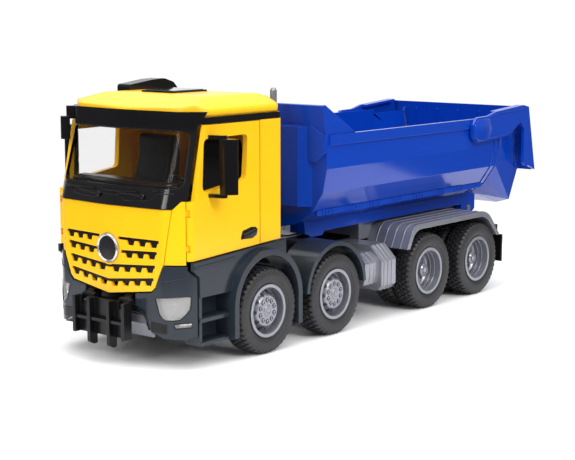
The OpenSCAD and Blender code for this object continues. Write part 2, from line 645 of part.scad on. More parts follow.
module cab_front() color(cab_yellow) from_axle_1() {
    difference() {
        intersection() {
            union() {
                upright(cab_low_z, belt_z) plan_ring(0, skin);
                intersection() {
                    upright(floor_z - floor_t, scuttle_z) cab_plan(1);
                    block([wall_x, -100, 0], [wall_x + skin, 100, 200]);
                }
            }
            block([door_axis[0] + 1, -100, 0], [nose_x + 5, 100, 200]);
            along(0, nose_x + 5) polygon(both_halves([[cab_half_w + 9, 60], [cab_half_w + 9, belt_z],
                [cab_half_w - 7.5, belt_z], [cab_half_w - 12.5, scuttle_z]]));
        }
        along(wall_x + skin, nose_x + 5) grille_outline(seam);
        both_sides() upright(cab_low_z - 10, belt_z + 10) translate(door_axis) circle(door_edge_r +
            knuckle_gap);
    }
    both_sides() {
        for (z = ear_z) upright(z, z + ear_h) translate(door_axis) {
            circle(ear_r);
            rotate(ear_turn) translate([0, -ear_arm[1] / 2]) square(ear_arm);
        }
        upright(ear_z[0] + ear_h - eps, ear_z[1] + eps) translate(door_axis) circle(door_pin_r);
    }
}

module cab_shell() color(cab_yellow) from_axle_1() difference() {
    intersection() {
        upright(60, door_top_z + seam - 0.1) plan_ring(0, skin);
        block([cab_rear_x - 5, -100, 0], [door_rear_x - 2 * seam, 100, 300]);
    }
    across(-100, 100) polygon([[-100, 50], [100, 50], [100, door_low(100)], [-100, door_low(-100)]]);
}

// Roof as one solid, moved in by d
module roof_form(d) intersection() {
    upright(eaves_z - 3 * d, crown_z + 20) cab_plan(1.5 + d, visor_x);
    across(-100, 100)
        polygon(rounded([[cab_rear_x - 5, eaves_z - 20, 0], [cab_rear_x - 5, crown_z - 6 - d, 0],
        [cab_rear_x + 8, crown_z - 1.5 - d, 10], [20, crown_z + 0.3 - d, 60],
        [visor_x - 36, crown_z - 0.4 - d, 40], [visor_x - 1 - d, roof_edge_z - d, 6],
        [visor_x + 4, eaves_z - 20, 0]]));
    along(cab_rear_x - 10, visor_x + 10) polygon(rounded(both_halves([[0, crown_z + 0.2 - d, 0],
        [cab_half_w - 20, crown_z - 1 - d, 20], [cab_half_w - 1.5 - d, roof_edge_z - d, 4],
        [cab_half_w - 1.5 - d, eaves_z - 20, 0]])));
}

module cab_roof() color(cab_yellow) from_axle_1() difference() {
    roof_form(0);
    roof_form(2.4);
}

// Leans its children back about the belt line of the nose
module raked() translate([nose_x, 0, belt_z]) rotate([0, -rake, 0]) translate([-nose_x, 0,
    -belt_z]) children();

module screen_opening(g = 0) polygon(rounded(both_halves([[cab_half_w - 10 + g, door_top_z - 5 + g, screen_r],
                                                          [cab_half_w - 8 + g, belt_z + 9 - g, screen_r]]), 4));

module windscreen_frame() color(black) from_axle_1() {
    band_z = [door_top_z + seam, eaves_z - 0.1];
    front_x = nose_x + 30;
    a_pillar = [[door_axis[0] + 1.2, scuttle_z - 10], [front_x, scuttle_z - 10], [front_x, door_top_z],
                [door_front_top_x + 1.6, door_top_z], [door_axis[0] + 1.2, belt_z + 2]];
    difference() {
        intersection() {
            raked() upright(80, door_top_z + 40) plan_ring(0.2, skin + 0.2);
            across(-100, 100) polygon(a_pillar);
            along(0, front_x)
                polygon(both_halves([[0, scuttle_z + seam], [cab_half_w - 12.5, scuttle_z + seam],
                [cab_half_w - 7.5, belt_z + seam], [100, belt_z + seam], [100, door_top_z + 20],
                [0, door_top_z + 20]]));
        }
        along(0, front_x) screen_opening();
    }
    upright(band_z[0], band_z[1]) plan_ring(0.2, skin + 0.2, visor_x);
    intersection() {
        union() {
            upright(visor_z[0], band_z[1]) plan_ring(-visor_lip, 8.5, visor_x);
            upright(band_z[1] - eps, visor_z[1]) plan_ring(-visor_lip, 1.3, visor_x);
        }
        across(-100, 100) polygon([[door_front_top_x - 2.5, visor_z[1]], [door_front_top_x + 4.7, visor_z[0]],
                                   [front_x, visor_z[0]], [front_x, visor_z[1]]]);
    }
}

module windscreen() color([0.8, 0.88, 0.92, 0.35]) from_axle_1() intersection() {
    raked() upright(80, door_top_z + 40) plan_ring(skin + 0.3, skin + 1.3);
    along(0, nose_x + 30) screen_opening(1.5);
    block([door_axis[0] - 16, -cab_half_w + 7, scuttle_z], [nose_x + 30, cab_half_w - 7, visor_z[0] - 0.2]);
}

// Height of a grille row at distance y from the middle
function row_z(row, y) = row[0] - row[1] * (1 - abs(y) / row[2]);

// Slot on one side with teeth along its lower edge
module grille_slot(row) {
    half_tooth = [4.3, 2.7];
    start = row[3] > 0 ? row[3] : -eps;
    polygon([[start, row_z(row, start)], [row[2], row_z(row, row[2])], [row[2], row_z(row, row[2]) - slot_h],
             [start, row_z(row, start) - slot_h]]);
    for (i = [0:floor((row[2] - row[3]) / tooth_pitch) - 1]) {
        y = row[2] - half_tooth[0] - 0.9 - i * tooth_pitch;
        z = row_z(row, y) - slot_h;
        polygon([[y - half_tooth[0], z + 0.8], [y + half_tooth[0], z + 0.8], [y + half_tooth[1], z - tooth_h],
                 [y - half_tooth[1], z - tooth_h]]);
    }
}

// Space behind the grille's slots, from d0 to d1 behind its face, grown by g
module insert_space(d0, d1, g) intersection() {
    upright(insert_edge[1][1] - g, insert_edge[0][1] + g) plan_ring(d0, d1);
    along(wall_x + skin + 0.2, nose_x + 5) offset(delta = g) polygon(both_halves(insert_edge));
}

module grille_panel() color(cab_yellow) from_axle_1() difference() {
    badge_gap = 1.6;
    intersection() {
        upright(floor_z - 50, scuttle_z) plan_ring(-0.2, skin);
        along(wall_x + skin + 0.2, nose_x + 5) grille_outline();
    }
    insert_space(slot_skin, skin + 2, 0.4);
    along(wall_x, nose_x + 5) difference() {
        both_sides_flat() for (row = grille_rows) grille_slot(row);
        translate([0, badge_z]) circle(badge_r + badge_gap);
    }
    along(wall_x, nose_x + 5) translate([0, badge_z]) circle(badge_r + 0.15);
}

// Black plate behind the grille's slots, with the lugs that the cab tilts on
module grille_insert() color(black) from_axle_1() difference() {
    lug_x = [bumper_bar[0] + 0.6, nose_x - 5.1, nose_x - 3.5];
    lug_z = [floor_z - 33.5, floor_z - 26.8, floor_z - 26.2, floor_z - 22];
    union() {
        insert_space(slot_skin + 0.2, skin + 1, 0);
        both_sides() across(tilt_lug_y[0], tilt_lug_y[1]) union() {
            translate(tilt_pin) circle(tilt_eye_r);
            polygon([[lug_x[0], lug_z[0]], [tilt_pin[0] - tilt_eye_r, tilt_pin[1]],
                [tilt_pin[0] + tilt_eye_r, tilt_pin[1]], [tilt_pin[0] - 0.5, tilt_pin[1] + 4],
                [lug_x[1], lug_z[0]], [lug_x[1], lug_z[1]], [lug_x[2], lug_z[2]], [lug_x[2], lug_z[3]],
                [lug_x[0], lug_z[3]]]);
        }
    }
    both_sides() rod_y(tilt_pin[0], tilt_pin[1], tilt_pin_r + pin_play, tilt_lug_y[0] - 1, tilt_lug_y[1] + 1);
}

module badge() color(silver) from_axle_1() {
    back_x = nose_x - slot_skin - 0.15;
    rim_d = [nose_x + 1.1 - back_x, nose_x + 2 - back_x];
    translate([back_x, 0, badge_z]) rotate([0, 90, 0]) rotate_extrude()
        polygon([[0, 0], [badge_r, 0], [badge_r, rim_d[0]], [badge_r - 1, rim_d[1]],
        [badge_r - 2, rim_d[0]], [badge_r - 2.2, rim_d[0] - 0.4], [0, rim_d[0]]]);
}

dash_edge = [[wall_x - 0.1, floor_z + 11, 0], [wall_x - 0.1, belt_z + 1, 2], [wall_x - 11, belt_z + 4, 3],
             [wall_x - 23, belt_z - 1, 3], [wall_x - 26, belt_z - 13, 3], [wall_x - 17, floor_z + 11, 2]];
seat_y = [17, cab_half_w - 20.5];

module dashboard() color(black) from_axle_1() {
    half_w = cab_half_w - 14.5;
    across(-half_w, half_w) polygon(rounded(dash_edge, 3));
    both_sides() block([wall_x - 18, half_w - 7, floor_z], [wall_x - 12, half_w - 1, belt_z - 10]);
}

module seats() color(black) from_axle_1() both_sides() {
    across(seat_y[0], seat_y[1]) translate([0, floor_z]) polygon(rounded([[8, 0, 0], [40, 0, 2],
        [42, 17, 4], [22, 19, 3],
        [10, 61, 4], [10, 77, 4], [1, 78, 4], [-2, 61, 4], [4, 21, 4]], 3));
}

module steering_wheel() color(black) from_axle_1() difference() {
    wheel_r = 12;
    tube_r = 1.3;
    translate([wall_x - 33, (seat_y[0] + seat_y[1]) / 2, belt_z + 4]) rotate([0, -58, 0]) {
        rotate_extrude() translate([wheel_r, 0]) circle(tube_r);
        for (a = [90, 210, 330]) rotate([0, 0, a]) translate([0, -1, -0.8]) cube([wheel_r, 2, 1.6]);
        translate([0, 0, -16]) cylinder(r = 2.2, h = 17);
        translate([0, 0, -1]) cylinder(r = 3.4, h = 2.2);
    }
    across(0, cab_half_w) offset(delta = 0.2) polygon(rounded(dash_edge, 3));
}

hatch_x = [2, 41];
hatch_half_w = 18.5;

module roof_hatch() color(black) from_axle_1() difference() {
    upright(crown_z - 8, crown_z + 0.9) polygon(rounded(both_halves([[hatch_x[0], hatch_half_w, 3],
                                                                      [hatch_x[1], hatch_half_w, 3]], 1), 3));
    roof_form(0);
}

module roof_cowl() color(black) from_axle_1() {
    cowl_y = [-cab_half_w + 13.5, -cab_half_w + 27.5];
    back_x = cab_rear_x - 6.5;
    difference() {
        across(cowl_y[0], cowl_y[1]) translate([0, crown_z]) polygon(rounded([[27, -8, 0], [27, 3.6, 2.5],
            [18, 4.6, 10],
            [0, 6.8, 30], [-13, 7.4, 14], [-24, 4, 8], [back_x, -4, 6], [back_x, scuttle_z - 9 - crown_z, 2],
            [cab_rear_x, scuttle_z - 9 - crown_z, 0], [cab_rear_x, -8, 0]]));
        roof_form(0);
    }
}

// Small mirror that hangs on the right-hand corner of the visor
module corner_mirror() color(black) from_axle_1() mirror([0, 1, 0]) difference() {
    head_z = [door_top_z - 17, door_top_z + 1];
    bracket_z = [door_top_z - 1, visor_z[1] - 0.5];
    translate([visor_x - 10.5, cab_half_w - 8, 0]) rotate(41.5) {
        upright(head_z[0], head_z[1]) polygon(rounded([[3.2, -4, 1.5], [9, -4, 3], [11, 0, 3], [9, 4, 2],
            [3.2, 4, 1.5]], 3));
        upright(bracket_z[0], bracket_z[1]) polygon(rounded([[-2, -3, 0], [6, -3, 1.5], [6, 3, 1.5],
            [-2, 3, 0]], 3));
    }
    upright(bracket_z[0] - 1, bracket_z[1] + 1) cab_plan(-visor_lip - 0.05, visor_x);
}

// Doors

module door_outline() polygon([[door_axis[0], door_low(door_axis[0])],
    [door_rear_x, door_low(door_rear_x)], [door_rear_x, door_top_z], [door_front_top_x, door_top_z],
    [door_axis[0] - 2, belt_z + 0.3], [door_axis[0], belt_z]]);

module door(side) color(cab_yellow) from_axle_1() on_side(side) difference() {
    union() {
        across(cab_half_w - door_t, cab_half_w) difference() {
            door_outline();
            polygon(rounded(window, 4));
        }
        intersection() {
            upright(door_low_z, belt_z) translate(door_axis) circle(door_edge_r);
            block([0, cab_half_w - door_t, 0], [nose_x, cab_half_w + 1, belt_z + 1]);
        }
    }
    for (z = ear_z) upright(z - 0.3, z + ear_h + 0.3) translate(door_axis) {
        circle(ear_r + knuckle_gap);
        for (turn = [0:15:door_turn]) rotate(ear_turn + turn) translate([0, -ear_arm[1] / 2 - 0.3])
            square([ear_arm[0], ear_arm[1] + 0.6]);
    }
    upright(door_low_z - 1, ear_z[1] + 1) translate(door_axis) circle(door_pin_r + pin_play);
    across(cab_half_w - handle_deep, cab_half_w + 1) offset(delta = handle_gap) handle_flat();
}

module handle_flat() translate([door_rear_x, floor_z]) polygon(rounded(handle, 3));

module door_handle(side) color(black) from_axle_1() on_side(side)
    across(cab_half_w - handle_deep, cab_half_w - 0.5) handle_flat();

module mirror_set(side) color(black) from_axle_1() on_side(side) translate([door_axis[0], cab_half_w,
    door_top_z]) {
    head_z = [-51, -10];
    head_y = [7, 20.5];
    arm_t = 2.6;
    arm_x = [-20, -16];
    upright(head_z[0], head_z[1])
        polygon(rounded([[-27, head_y[0], 2], [-19.5, head_y[0], 2.5], [-18.5, head_y[1] - 5, 4],
        [-24, head_y[1], 2.5], [-27, head_y[1], 1]], 4));
    for (z = [head_z[0] - arm_t, head_z[1]]) upright(z - eps, z + arm_t + eps)
        polygon(rounded([[arm_x[0], 0, 0], [arm_x[1], 0, 0], [arm_x[1] - 3, head_y[0] + 6, 2],
        [-25, head_y[0] + 6, 2]], 3));
}

// Bed

function trough_rows(d) = [[-bed_half_w + d, rail_top_z + (d > 0 ? 1 : 0), 0],
    [-bed_half_w + d, trough_z + d, side_r - d],
    [bed_half_w - d, trough_z + d, side_r - d], [bed_half_w - d, rail_top_z + (d > 0 ? 1 : 0), 0]];

module trough_section(d) polygon(rounded(trough_rows(d), trough_facets));

// Section of the chute at its mouth, moved in by d
module mouth_section(d) polygon(both_halves([[bed_half_w - 9 - d, trough_z + 54 + (d > 0 ? 4 : 0)],
    [bed_half_w - 10 - d, trough_z + 22], [bed_half_w - 18 - d, trough_z - 6.5 + d],
    [bed_half_w - 32 - d, trough_z - 10.5 + d]]));

// Chute from the trough's rear edge to its mouth as one solid, moved in by d and longer by g at each end
module chute_form(d, g) hull() {
    along(bed_rear_x - 0.1, bed_rear_x + g) trough_section(d);
    along(mouth_x - g, mouth_x + 0.1) mouth_section(d);
}

module bed_trough() color(bed_blue) from_axle_1() {
    along(bed_rear_x, bed_front_x) {
        difference() {
            trough_section(0);
            trough_section(bed_wall);
        }
        both_sides_flat() translate([bed_half_w - bed_wall, rail_top_z - rail_band_h])
            square([bed_wall + rail_lip, rail_band_h]);
    }
    intersection() {
        difference() {
            chute_form(0, eps);
            chute_form(bed_wall, 1);
        }
        across(-bed_half_w - 10, bed_half_w + 10) polygon([[bed_rear_x + 1, rail_top_z - 6],
            [bed_rear_x - 18, rail_top_z - 16],
            [mouth_x - 1, trough_z + 24], [mouth_x - 1, trough_z - 20], [bed_rear_x + 1, trough_z - 20]]);
    }
    both_sides() rod_y(gate_pivot[0], gate_pivot[1], gate_pin_r, bed_half_w - eps, arm_y[1]);
}

// Front wall with a raised housing, and over it the guard that leans towards the cab
module bed_headboard() color(bed_blue) from_axle_1() {
    x = [bed_front_x, bed_front_x + 2.6];
    lean = 11.5;
    fold_z = headboard_z - 9;
    along(x[0], x[1]) trough_section(0);
    along(x[1] - eps, x[1] + 2.4) polygon(both_halves([[0, fold_z], [bed_half_w - 31, fold_z],
        [bed_half_w - 0.5, rail_top_z - 0.5],
        [bed_half_w - 0.5, rail_top_z - 14], [bed_half_w - 8, rail_top_z - 22], [0, rail_top_z - 22]]));
    translate([x[0], 0, rail_top_z - 4]) rotate([0, lean, 0])
        block([0, -bed_half_w, 0], [2.6, bed_half_w, headboard_rise + 4]);
    both_sides() across(bed_half_w - bed_wall, bed_half_w)
        polygon([[x[0] + 5, headboard_z - 0.5], [x[1], rail_top_z + eps], [x[0] - 36, rail_top_z + eps]]);
    upright(trough_z + 20, rail_top_z + 6)
        polygon([[x[1] - eps, -bed_half_w + 15], [x[1] + 7, -bed_half_w + 25],
        [x[1] + 7, bed_half_w - 25], [x[1] - eps, bed_half_w - 15]]);
}

module bed_underframe() color(bed_blue) from_axle_1() difference() {
    beam_y = [sub_in + 3, ear_y[1]];
    top_z = trough_z + 8;
    foot_z = sub_top_z - 3;
    ear_half = 12;
    gap = 0.4;
    both_sides() {
        block([bed_rear_x + 8, beam_y[0], sub_top_z + gap], [bed_front_x - 8, beam_y[1], top_z]);
        across(ear_y[0], ear_y[1]) polygon(rounded([[bed_front_x - 6, top_z, 0],
            [bed_front_x - 8, foot_z + 5, 2],
            [bed_front_x - 16, foot_z, 3], [bed_front_x - 32, foot_z, 3], [bed_front_x - 44, top_z, 0]], 3));
        across(ear_y[0], ear_y[1]) translate([hinge_x, hinge_z]) polygon(rounded([[-ear_half,
            top_z - hinge_z, 0],
            [-ear_half, -2, 2], [-ear_half + 5, -5, 2], [ear_half - 5, -5, 2], [ear_half, -2, 2],
            [ear_half, top_z - hinge_z, 0]], 3));
    }
    along(bed_rear_x, bed_front_x + 20) offset(delta = 0.1) trough_section(0);
    chute_form(-0.1, 0);
    both_sides() rod_y(hinge_x, hinge_z, hinge_r + pin_play, ear_y[0] - 1, ear_y[1] + 1);
}

// Side view of the tailgate's arm and cheek, from the pivot
function cheek_rows(drop) = [[12, 5], [12, -5], [5, -11.5], [-37, -10], [-54, -8], [-74, 3], [-81, -4],
    [-81, 9 - drop],
    [-85, 5 - drop], [-91, 5 - drop], [tail_x - gate_pivot[0], -drop], [tail_x + 14 - gate_pivot[0], 17],
    [tail_x + 24 - gate_pivot[0], 19], [-30, 15.5], [-15, 12], [5, 11.5]];

module tailgate() color(bed_blue) from_axle_1() translate([gate_pivot[0], 0, gate_pivot[1]]) {
    drop = 45.5;
    back_x = tail_x - gate_pivot[0];
    panel_t = 3;
    flange_y = [arm_y[0] - 5, arm_y[0] + eps];
    rib_y = [-2, -1, 0, 1, 2] * bed_half_w / 3;
    difference() {
        union() {
            both_sides() {
                across(arm_y[0], arm_y[1]) polygon(cheek_rows(drop));
                across(flange_y[0], flange_y[1]) polygon([[-30, 15.5], [back_x + 24, 19],
                    [back_x + 24, 16.5], [-30, 13]]);
            }
            across(-arm_y[0] - eps, arm_y[0] + eps) polygon([[back_x, -drop], [back_x + 14, 17],
                [back_x + 14 + panel_t, 17], [back_x + panel_t, -drop]]);
            for (y = rib_y) across(y - 1.2, y + 1.2) polygon([[back_x + panel_t - eps, -drop + 3],
                [back_x + panel_t + 2, -drop + 8],
                [back_x + panel_t + 13, 10], [back_x + panel_t + 12, 14]]);
        }
        both_sides() rod_y(0, 0, gate_pin_r + pin_play, arm_y[0] - 1, arm_y[1] + 1);
    }
}

chassis_frame();
subframe();
front_axles();
rear_axles();
engine();
stack_pipe();
front_bumper();
headlamps();
skid_plate();
coupling_bracket();
front_fenders();
cab_steps();
second_fenders();
side_tanks();
rear_mudguards();
rear_lamp_bar();
tail_lamps();
cab_floor();
cab_front();
cab_shell();
cab_roof();
windscreen_frame();
windscreen();
grille_panel();
grille_insert();
badge();
dashboard();
seats();
steering_wheel();
roof_hatch();
roof_cowl();
corner_mirror();
door("left");  // door_left
door_handle("left");  // handle_left
mirror_set("left");  // mirror_left
door("right");  // door_right
door_handle("right");  // handle_right
mirror_set("right");  // mirror_right
bed_trough();
bed_headboard();
bed_underframe();
tailgate();
for (w = WHEELS) {
    tyre(w[0], w[1]);
    rim(w[0], w[1]);
}
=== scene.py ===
import json
import math
import bmesh
import bpy
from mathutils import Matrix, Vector
from mathutils.bvhtree import BVHTree


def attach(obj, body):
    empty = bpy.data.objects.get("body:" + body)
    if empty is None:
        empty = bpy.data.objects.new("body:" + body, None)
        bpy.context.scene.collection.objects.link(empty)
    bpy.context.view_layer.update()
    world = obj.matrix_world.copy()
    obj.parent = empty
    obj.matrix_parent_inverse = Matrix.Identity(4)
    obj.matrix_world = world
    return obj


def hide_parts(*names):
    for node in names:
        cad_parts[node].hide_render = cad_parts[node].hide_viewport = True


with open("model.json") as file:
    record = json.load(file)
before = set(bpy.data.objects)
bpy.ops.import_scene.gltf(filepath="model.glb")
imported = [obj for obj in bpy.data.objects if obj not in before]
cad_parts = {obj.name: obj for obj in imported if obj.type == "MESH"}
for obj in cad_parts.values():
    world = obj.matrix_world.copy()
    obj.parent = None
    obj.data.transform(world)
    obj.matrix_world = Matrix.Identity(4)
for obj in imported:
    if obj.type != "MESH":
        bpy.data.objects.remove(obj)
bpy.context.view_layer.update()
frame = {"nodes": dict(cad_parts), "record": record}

# A toy tipper truck. Places are in millimetres: x forward from the first axle, y to the left, z up from the floor.

NODES = frame["nodes"]
MM = 0.001
FIRST_AXLE = 149.0
AXLE_X = (0.0, -86.5, -225.0, -306.5)
AXLE_Z = 34.0
SIDES = (("left", 1), ("right", -1))
FORWARD, BACKWARD = (1, 0, 0), (-1, 0, 0)
LEFTWARD, RIGHTWARD = (0, 1, 0), (0, -1, 0)
UP, DOWN = (0, 0, 1), (0, 0, -1)

# Where lines that look for a surface start, clear of the truck
AHEAD = 220.0
BESIDE = 100.0
OVERHEAD = 200.0


# Shaders

NOISE_MEAN = 0.5
BEVEL_SAMPLES = 6


class Value:
    """A socket that carries a number or a colour. Arithmetic on it adds Math nodes."""

    def __init__(self, nodes, socket):
        self.nodes, self.socket = nodes, socket

    def math(self, operation, first, second):
        return self.nodes.node("ShaderNodeMath", {"operation": operation}, {0: first, 1: second})

    def __add__(self, other): return self.math("ADD", self, other)
    def __radd__(self, other): return self.math("ADD", other, self)
    def __sub__(self, other): return self.math("SUBTRACT", self, other)
    def __rsub__(self, other): return self.math("SUBTRACT", other, self)
    def __mul__(self, other): return self.math("MULTIPLY", self, other)
    def __rmul__(self, other): return self.math("MULTIPLY", other, self)
    def __pow__(self, other): return self.math("POWER", self, other)
    def __rpow__(self, other): return self.math("POWER", other, self)

    def output(self, name):
        return Value(self.nodes, self.socket.node.outputs[name])


class Nodes:
    """A node tree that is written as calls."""

    def __init__(self, tree):
        self.tree = tree

    def node(self, kind, settings={}, sockets={}):
        made = self.tree.nodes.new(kind)
        for name, value in settings.items():
            setattr(made, name, value)
        for name, value in sockets.items():
            self.feed(made.inputs[name], value)
        return Value(self, next(out for out in made.outputs if out.enabled))

    def feed(self, socket, value):
        if isinstance(value, Value):
            self.tree.links.new(value.socket, socket)
        else:
            socket.default_value = value

    def mix(self, amount, first, second):
        blend = self.node("ShaderNodeMix", {"data_type": "RGBA"}, {"Factor": amount, 6: first, 7: second})
        return blend.output(2)

    def ramp(self, value, low, high):
        """0 below low, 1 above high, and smooth between them."""
        return self.node("ShaderNodeMapRange", {"interpolation_type": "SMOOTHSTEP"},
                         {"Value": value, "From Min": low, "From Max": high})


class Paint(Nodes):
    """One material, written around a Principled shader."""

    def __init__(self, name, **constants):
        self.material = bpy.data.materials.new(name)
        self.material.use_nodes = True
        super().__init__(self.material.node_tree)
        self.shader = self.tree.nodes["Principled BSDF"]
        self.set(**constants)
        self.place = self.node("ShaderNodeTexCoord").output("Object")

    def set(self, **sockets):
        for name, value in sockets.items():
            self.feed(self.shader.inputs[name.replace("_", " ")], value)

    def noise(self, per_metre, detail):
        sockets = {"Vector": self.place, "Scale": per_metre, "Detail": detail}
        return self.node("ShaderNodeTexNoise", {}, sockets)

    def relief(self, height, depth, edge=0.0):
        """Fine bumps of the given depth in metres, with edges softened over a radius of edge."""
        sockets = {"Height": height, "Distance": depth, "Strength": 1.0}
        if edge:
            sockets["Normal"] = self.node("ShaderNodeBevel", {"samples": BEVEL_SAMPLES}, {"Radius": edge})
        self.set(Normal=self.node("ShaderNodeBump", {}, sockets))


def shade(colour, factor):
    """A colour made darker or lighter."""
    return tuple(min(1.0, part * factor) for part in colour) + (1.0,)


def moulded(name, colour, rough, grain, depth, edge=0.5 * MM, swing=0.06, **constants):
    """Coloured plastic as it leaves the mould: faint flow marks, fine grain and softened edges."""
    paint = Paint(name, **constants)
    flow = paint.noise(per_metre=11.0, detail=2.0)
    speck = paint.noise(per_metre=grain, detail=4.0)
    tint = flow * 0.6 + speck * 0.4
    paint.set(Base_Color=paint.mix(tint, shade(colour, 1 - swing), shade(colour, 1 + swing)),
              Roughness=rough + (speck - NOISE_MEAN) * 0.12 + (flow - NOISE_MEAN) * 0.06)
    paint.relief(speck, depth, edge)
    return paint.material


def silver_paint():
    """Grey plastic with fine metal flake in it."""
    dark, pale = (0.21, 0.215, 0.25, 1), (0.34, 0.345, 0.39, 1)
    paint = Paint("silver_flake_plastic", Metallic=0.55)
    flake = paint.noise(per_metre=5200.0, detail=1.0)
    flow = paint.noise(per_metre=14.0, detail=2.0)
    paint.set(Base_Color=paint.mix(flake * 0.7 + flow * 0.3, dark, pale),
              Roughness=0.24 + (flake - NOISE_MEAN) * 0.16)
    paint.relief(flake, depth=0.006 * MM, edge=0.5 * MM)
    return paint.material


def tyre_paint():
    """Matt charcoal vinyl with a cloudy tint."""
    dark, pale = (0.011, 0.011, 0.013, 1), (0.024, 0.024, 0.027, 1)
    paint = Paint("charcoal_vinyl")
    grain = paint.noise(per_metre=2400.0, detail=4.0)
    cloud = paint.noise(per_metre=90.0, detail=3.0)
    paint.set(Base_Color=paint.mix(cloud * 0.6 + grain * 0.4, dark, pale),
              Roughness=0.50 + (grain - NOISE_MEAN) * 0.25 + (cloud - NOISE_MEAN) * 0.10)
    paint.relief(grain, depth=0.03 * MM, edge=0.2 * MM)
    return paint.material


def pane_paint(name, tint, rough, alpha):
    """Clear moulded sheet with a faint ripple."""
    paint = Paint(name, IOR=1.5, Base_Color=shade(tint, 1.0), Alpha=alpha)
    ripple = paint.noise(per_metre=160.0, detail=2.0)
    paint.set(Roughness=rough + ripple * 0.03)
    paint.relief(ripple, depth=0.01 * MM)
    return paint.material


def badge_paint():
    """Silver ring around a plain black disc."""
    badge_z, disc_r, ring_r = 88.2 * MM, 9.0 * MM, 9.25 * MM
    black, jet = (0.008, 0.008, 0.009, 1), (0.013, 0.013, 0.014, 1)
    silver, bright = (0.55, 0.55, 0.57, 1), (0.66, 0.66, 0.68, 1)
    paint = Paint("badge_ring_and_disc")
    parts = paint.node("ShaderNodeSeparateXYZ", {}, {0: paint.place})
    across, up = parts.output("Y"), parts.output("Z") - badge_z
    ring = paint.ramp((across * across + up * up) ** 0.5, disc_r, ring_r)
    speck = paint.noise(per_metre=1500.0, detail=3.0)
    paint.set(Base_Color=paint.mix(ring, paint.mix(speck, black, jet), paint.mix(speck, silver, bright)),
              Metallic=ring * 0.9, Roughness=0.22 + speck * 0.06)
    paint.relief(speck, depth=0.006 * MM, edge=0.4 * MM)
    return paint.material


YELLOW = (0.95, 0.515, 0.008)
BLUE = (0.002, 0.044, 0.39)
SLATE = (0.019, 0.025, 0.035)
BLACK = (0.004, 0.004, 0.005)

yellow_gloss = moulded("yellow_gloss_plastic", YELLOW, rough=0.20, grain=700.0, depth=0.003 * MM, swing=0.03,
                       Specular_IOR_Level=0.35)
roof_gloss = moulded("yellow_gloss_roof", YELLOW, rough=0.20, grain=700.0, depth=0.003 * MM, edge=6.0 * MM,
                     swing=0.03, Specular_IOR_Level=0.35)
blue_gloss = moulded("blue_gloss_plastic", BLUE, rough=0.11, grain=600.0, depth=0.003 * MM,
                     Specular_IOR_Level=0.40)
slate_gloss = moulded("slate_gloss_plastic", SLATE, rough=0.18, grain=1400.0, depth=0.004 * MM,
                      Specular_IOR_Level=0.32)
black_satin = moulded("black_satin_plastic", BLACK, rough=0.28, grain=2000.0, depth=0.010 * MM, swing=0.25,
                      Specular_IOR_Level=0.28)
black_gloss = moulded("black_gloss_plastic", BLACK, rough=0.17, grain=900.0, depth=0.003 * MM, swing=0.25,
                      Specular_IOR_Level=0.35)
silver_satin = silver_paint()
charcoal_tyre = tyre_paint()
chrome_foil = moulded("chrome_foil", (0.78, 0.78, 0.80), rough=0.12, grain=500.0, depth=0.004 * MM, Metallic=1.0)
mirror_foil = moulded("mirror_foil", (0.80, 0.82, 0.84), rough=0.06, grain=300.0, depth=0.002 * MM, edge=0,
                      Metallic=1.0)
smoked_pane = moulded("smoked_pane", (0.020, 0.020, 0.022), rough=0.07, grain=300.0, depth=0.003 * MM,
                      Coat_Weight=1.0, Coat_Roughness=0.03)
red_lens = moulded("red_lens", (0.42, 0.012, 0.010), rough=0.12, grain=600.0, depth=0.006 * MM, Coat_Weight=0.5)
clear_pane = pane_paint("clear_pane", (0.02, 0.02, 0.02), rough=0.03, alpha=0.08)
lamp_glass = pane_paint("lamp_glass", (0.55, 0.55, 0.54), rough=0.05, alpha=0.28)
badge_finish = badge_paint()

FINISHES = {
    "yellow_plastic": yellow_gloss, "blue_plastic": blue_gloss, "slate_plastic": slate_gloss,
    "black_plastic": black_satin, "silver_plastic": silver_satin, "clear_plastic": clear_pane,
    "red_plastic": red_lens, "tyre_plastic": charcoal_tyre,
}
OWN_FINISH = {
    "badge": badge_finish, "cab_roof": roof_gloss, "headlamps": lamp_glass, "windscreen_frame": black_gloss,
    "roof_cowl": black_gloss, "mirror_left": black_gloss, "mirror_right": black_gloss,
    "corner_mirror": black_gloss,
}
for row in frame["record"]["subparts"]:
    node = NODES[row["node"]]
    node.data.materials.clear()
    node.data.materials.append(OWN_FINISH.get(row["node"], FINISHES[row["material_slot"]]))


# Making pieces

BAR_SINK = 0.2
CAD_TREES = {}


def metres(point):
    """A place in the frame."""
    return Vector((point[0] + FIRST_AXLE, point[1], point[2])) * MM


def touch(node, start, toward):
    """Where a line from start meets a CAD node, or None, and the way that spot faces."""
    if node not in CAD_TREES:
        mesh = NODES[node].data
        CAD_TREES[node] = BVHTree.FromPolygons([v.co for v in mesh.vertices], [p.vertices for p in mesh.polygons])
    spot, facing, _, _ = CAD_TREES[node].ray_cast(metres(start), Vector(toward))
    return spot and spot / MM - Vector((FIRST_AXLE, 0, 0)), facing


def scaled(edge, share, centre=None):
    """A flat outline scaled about a centre, or about the mean of its corners."""
    a0, b0 = centre or (sum(corner[k] for corner in edge) / len(edge) for k in (0, 1))
    return [(a0 + (a - a0) * share, b0 + (b - b0) * share) for a, b in edge]


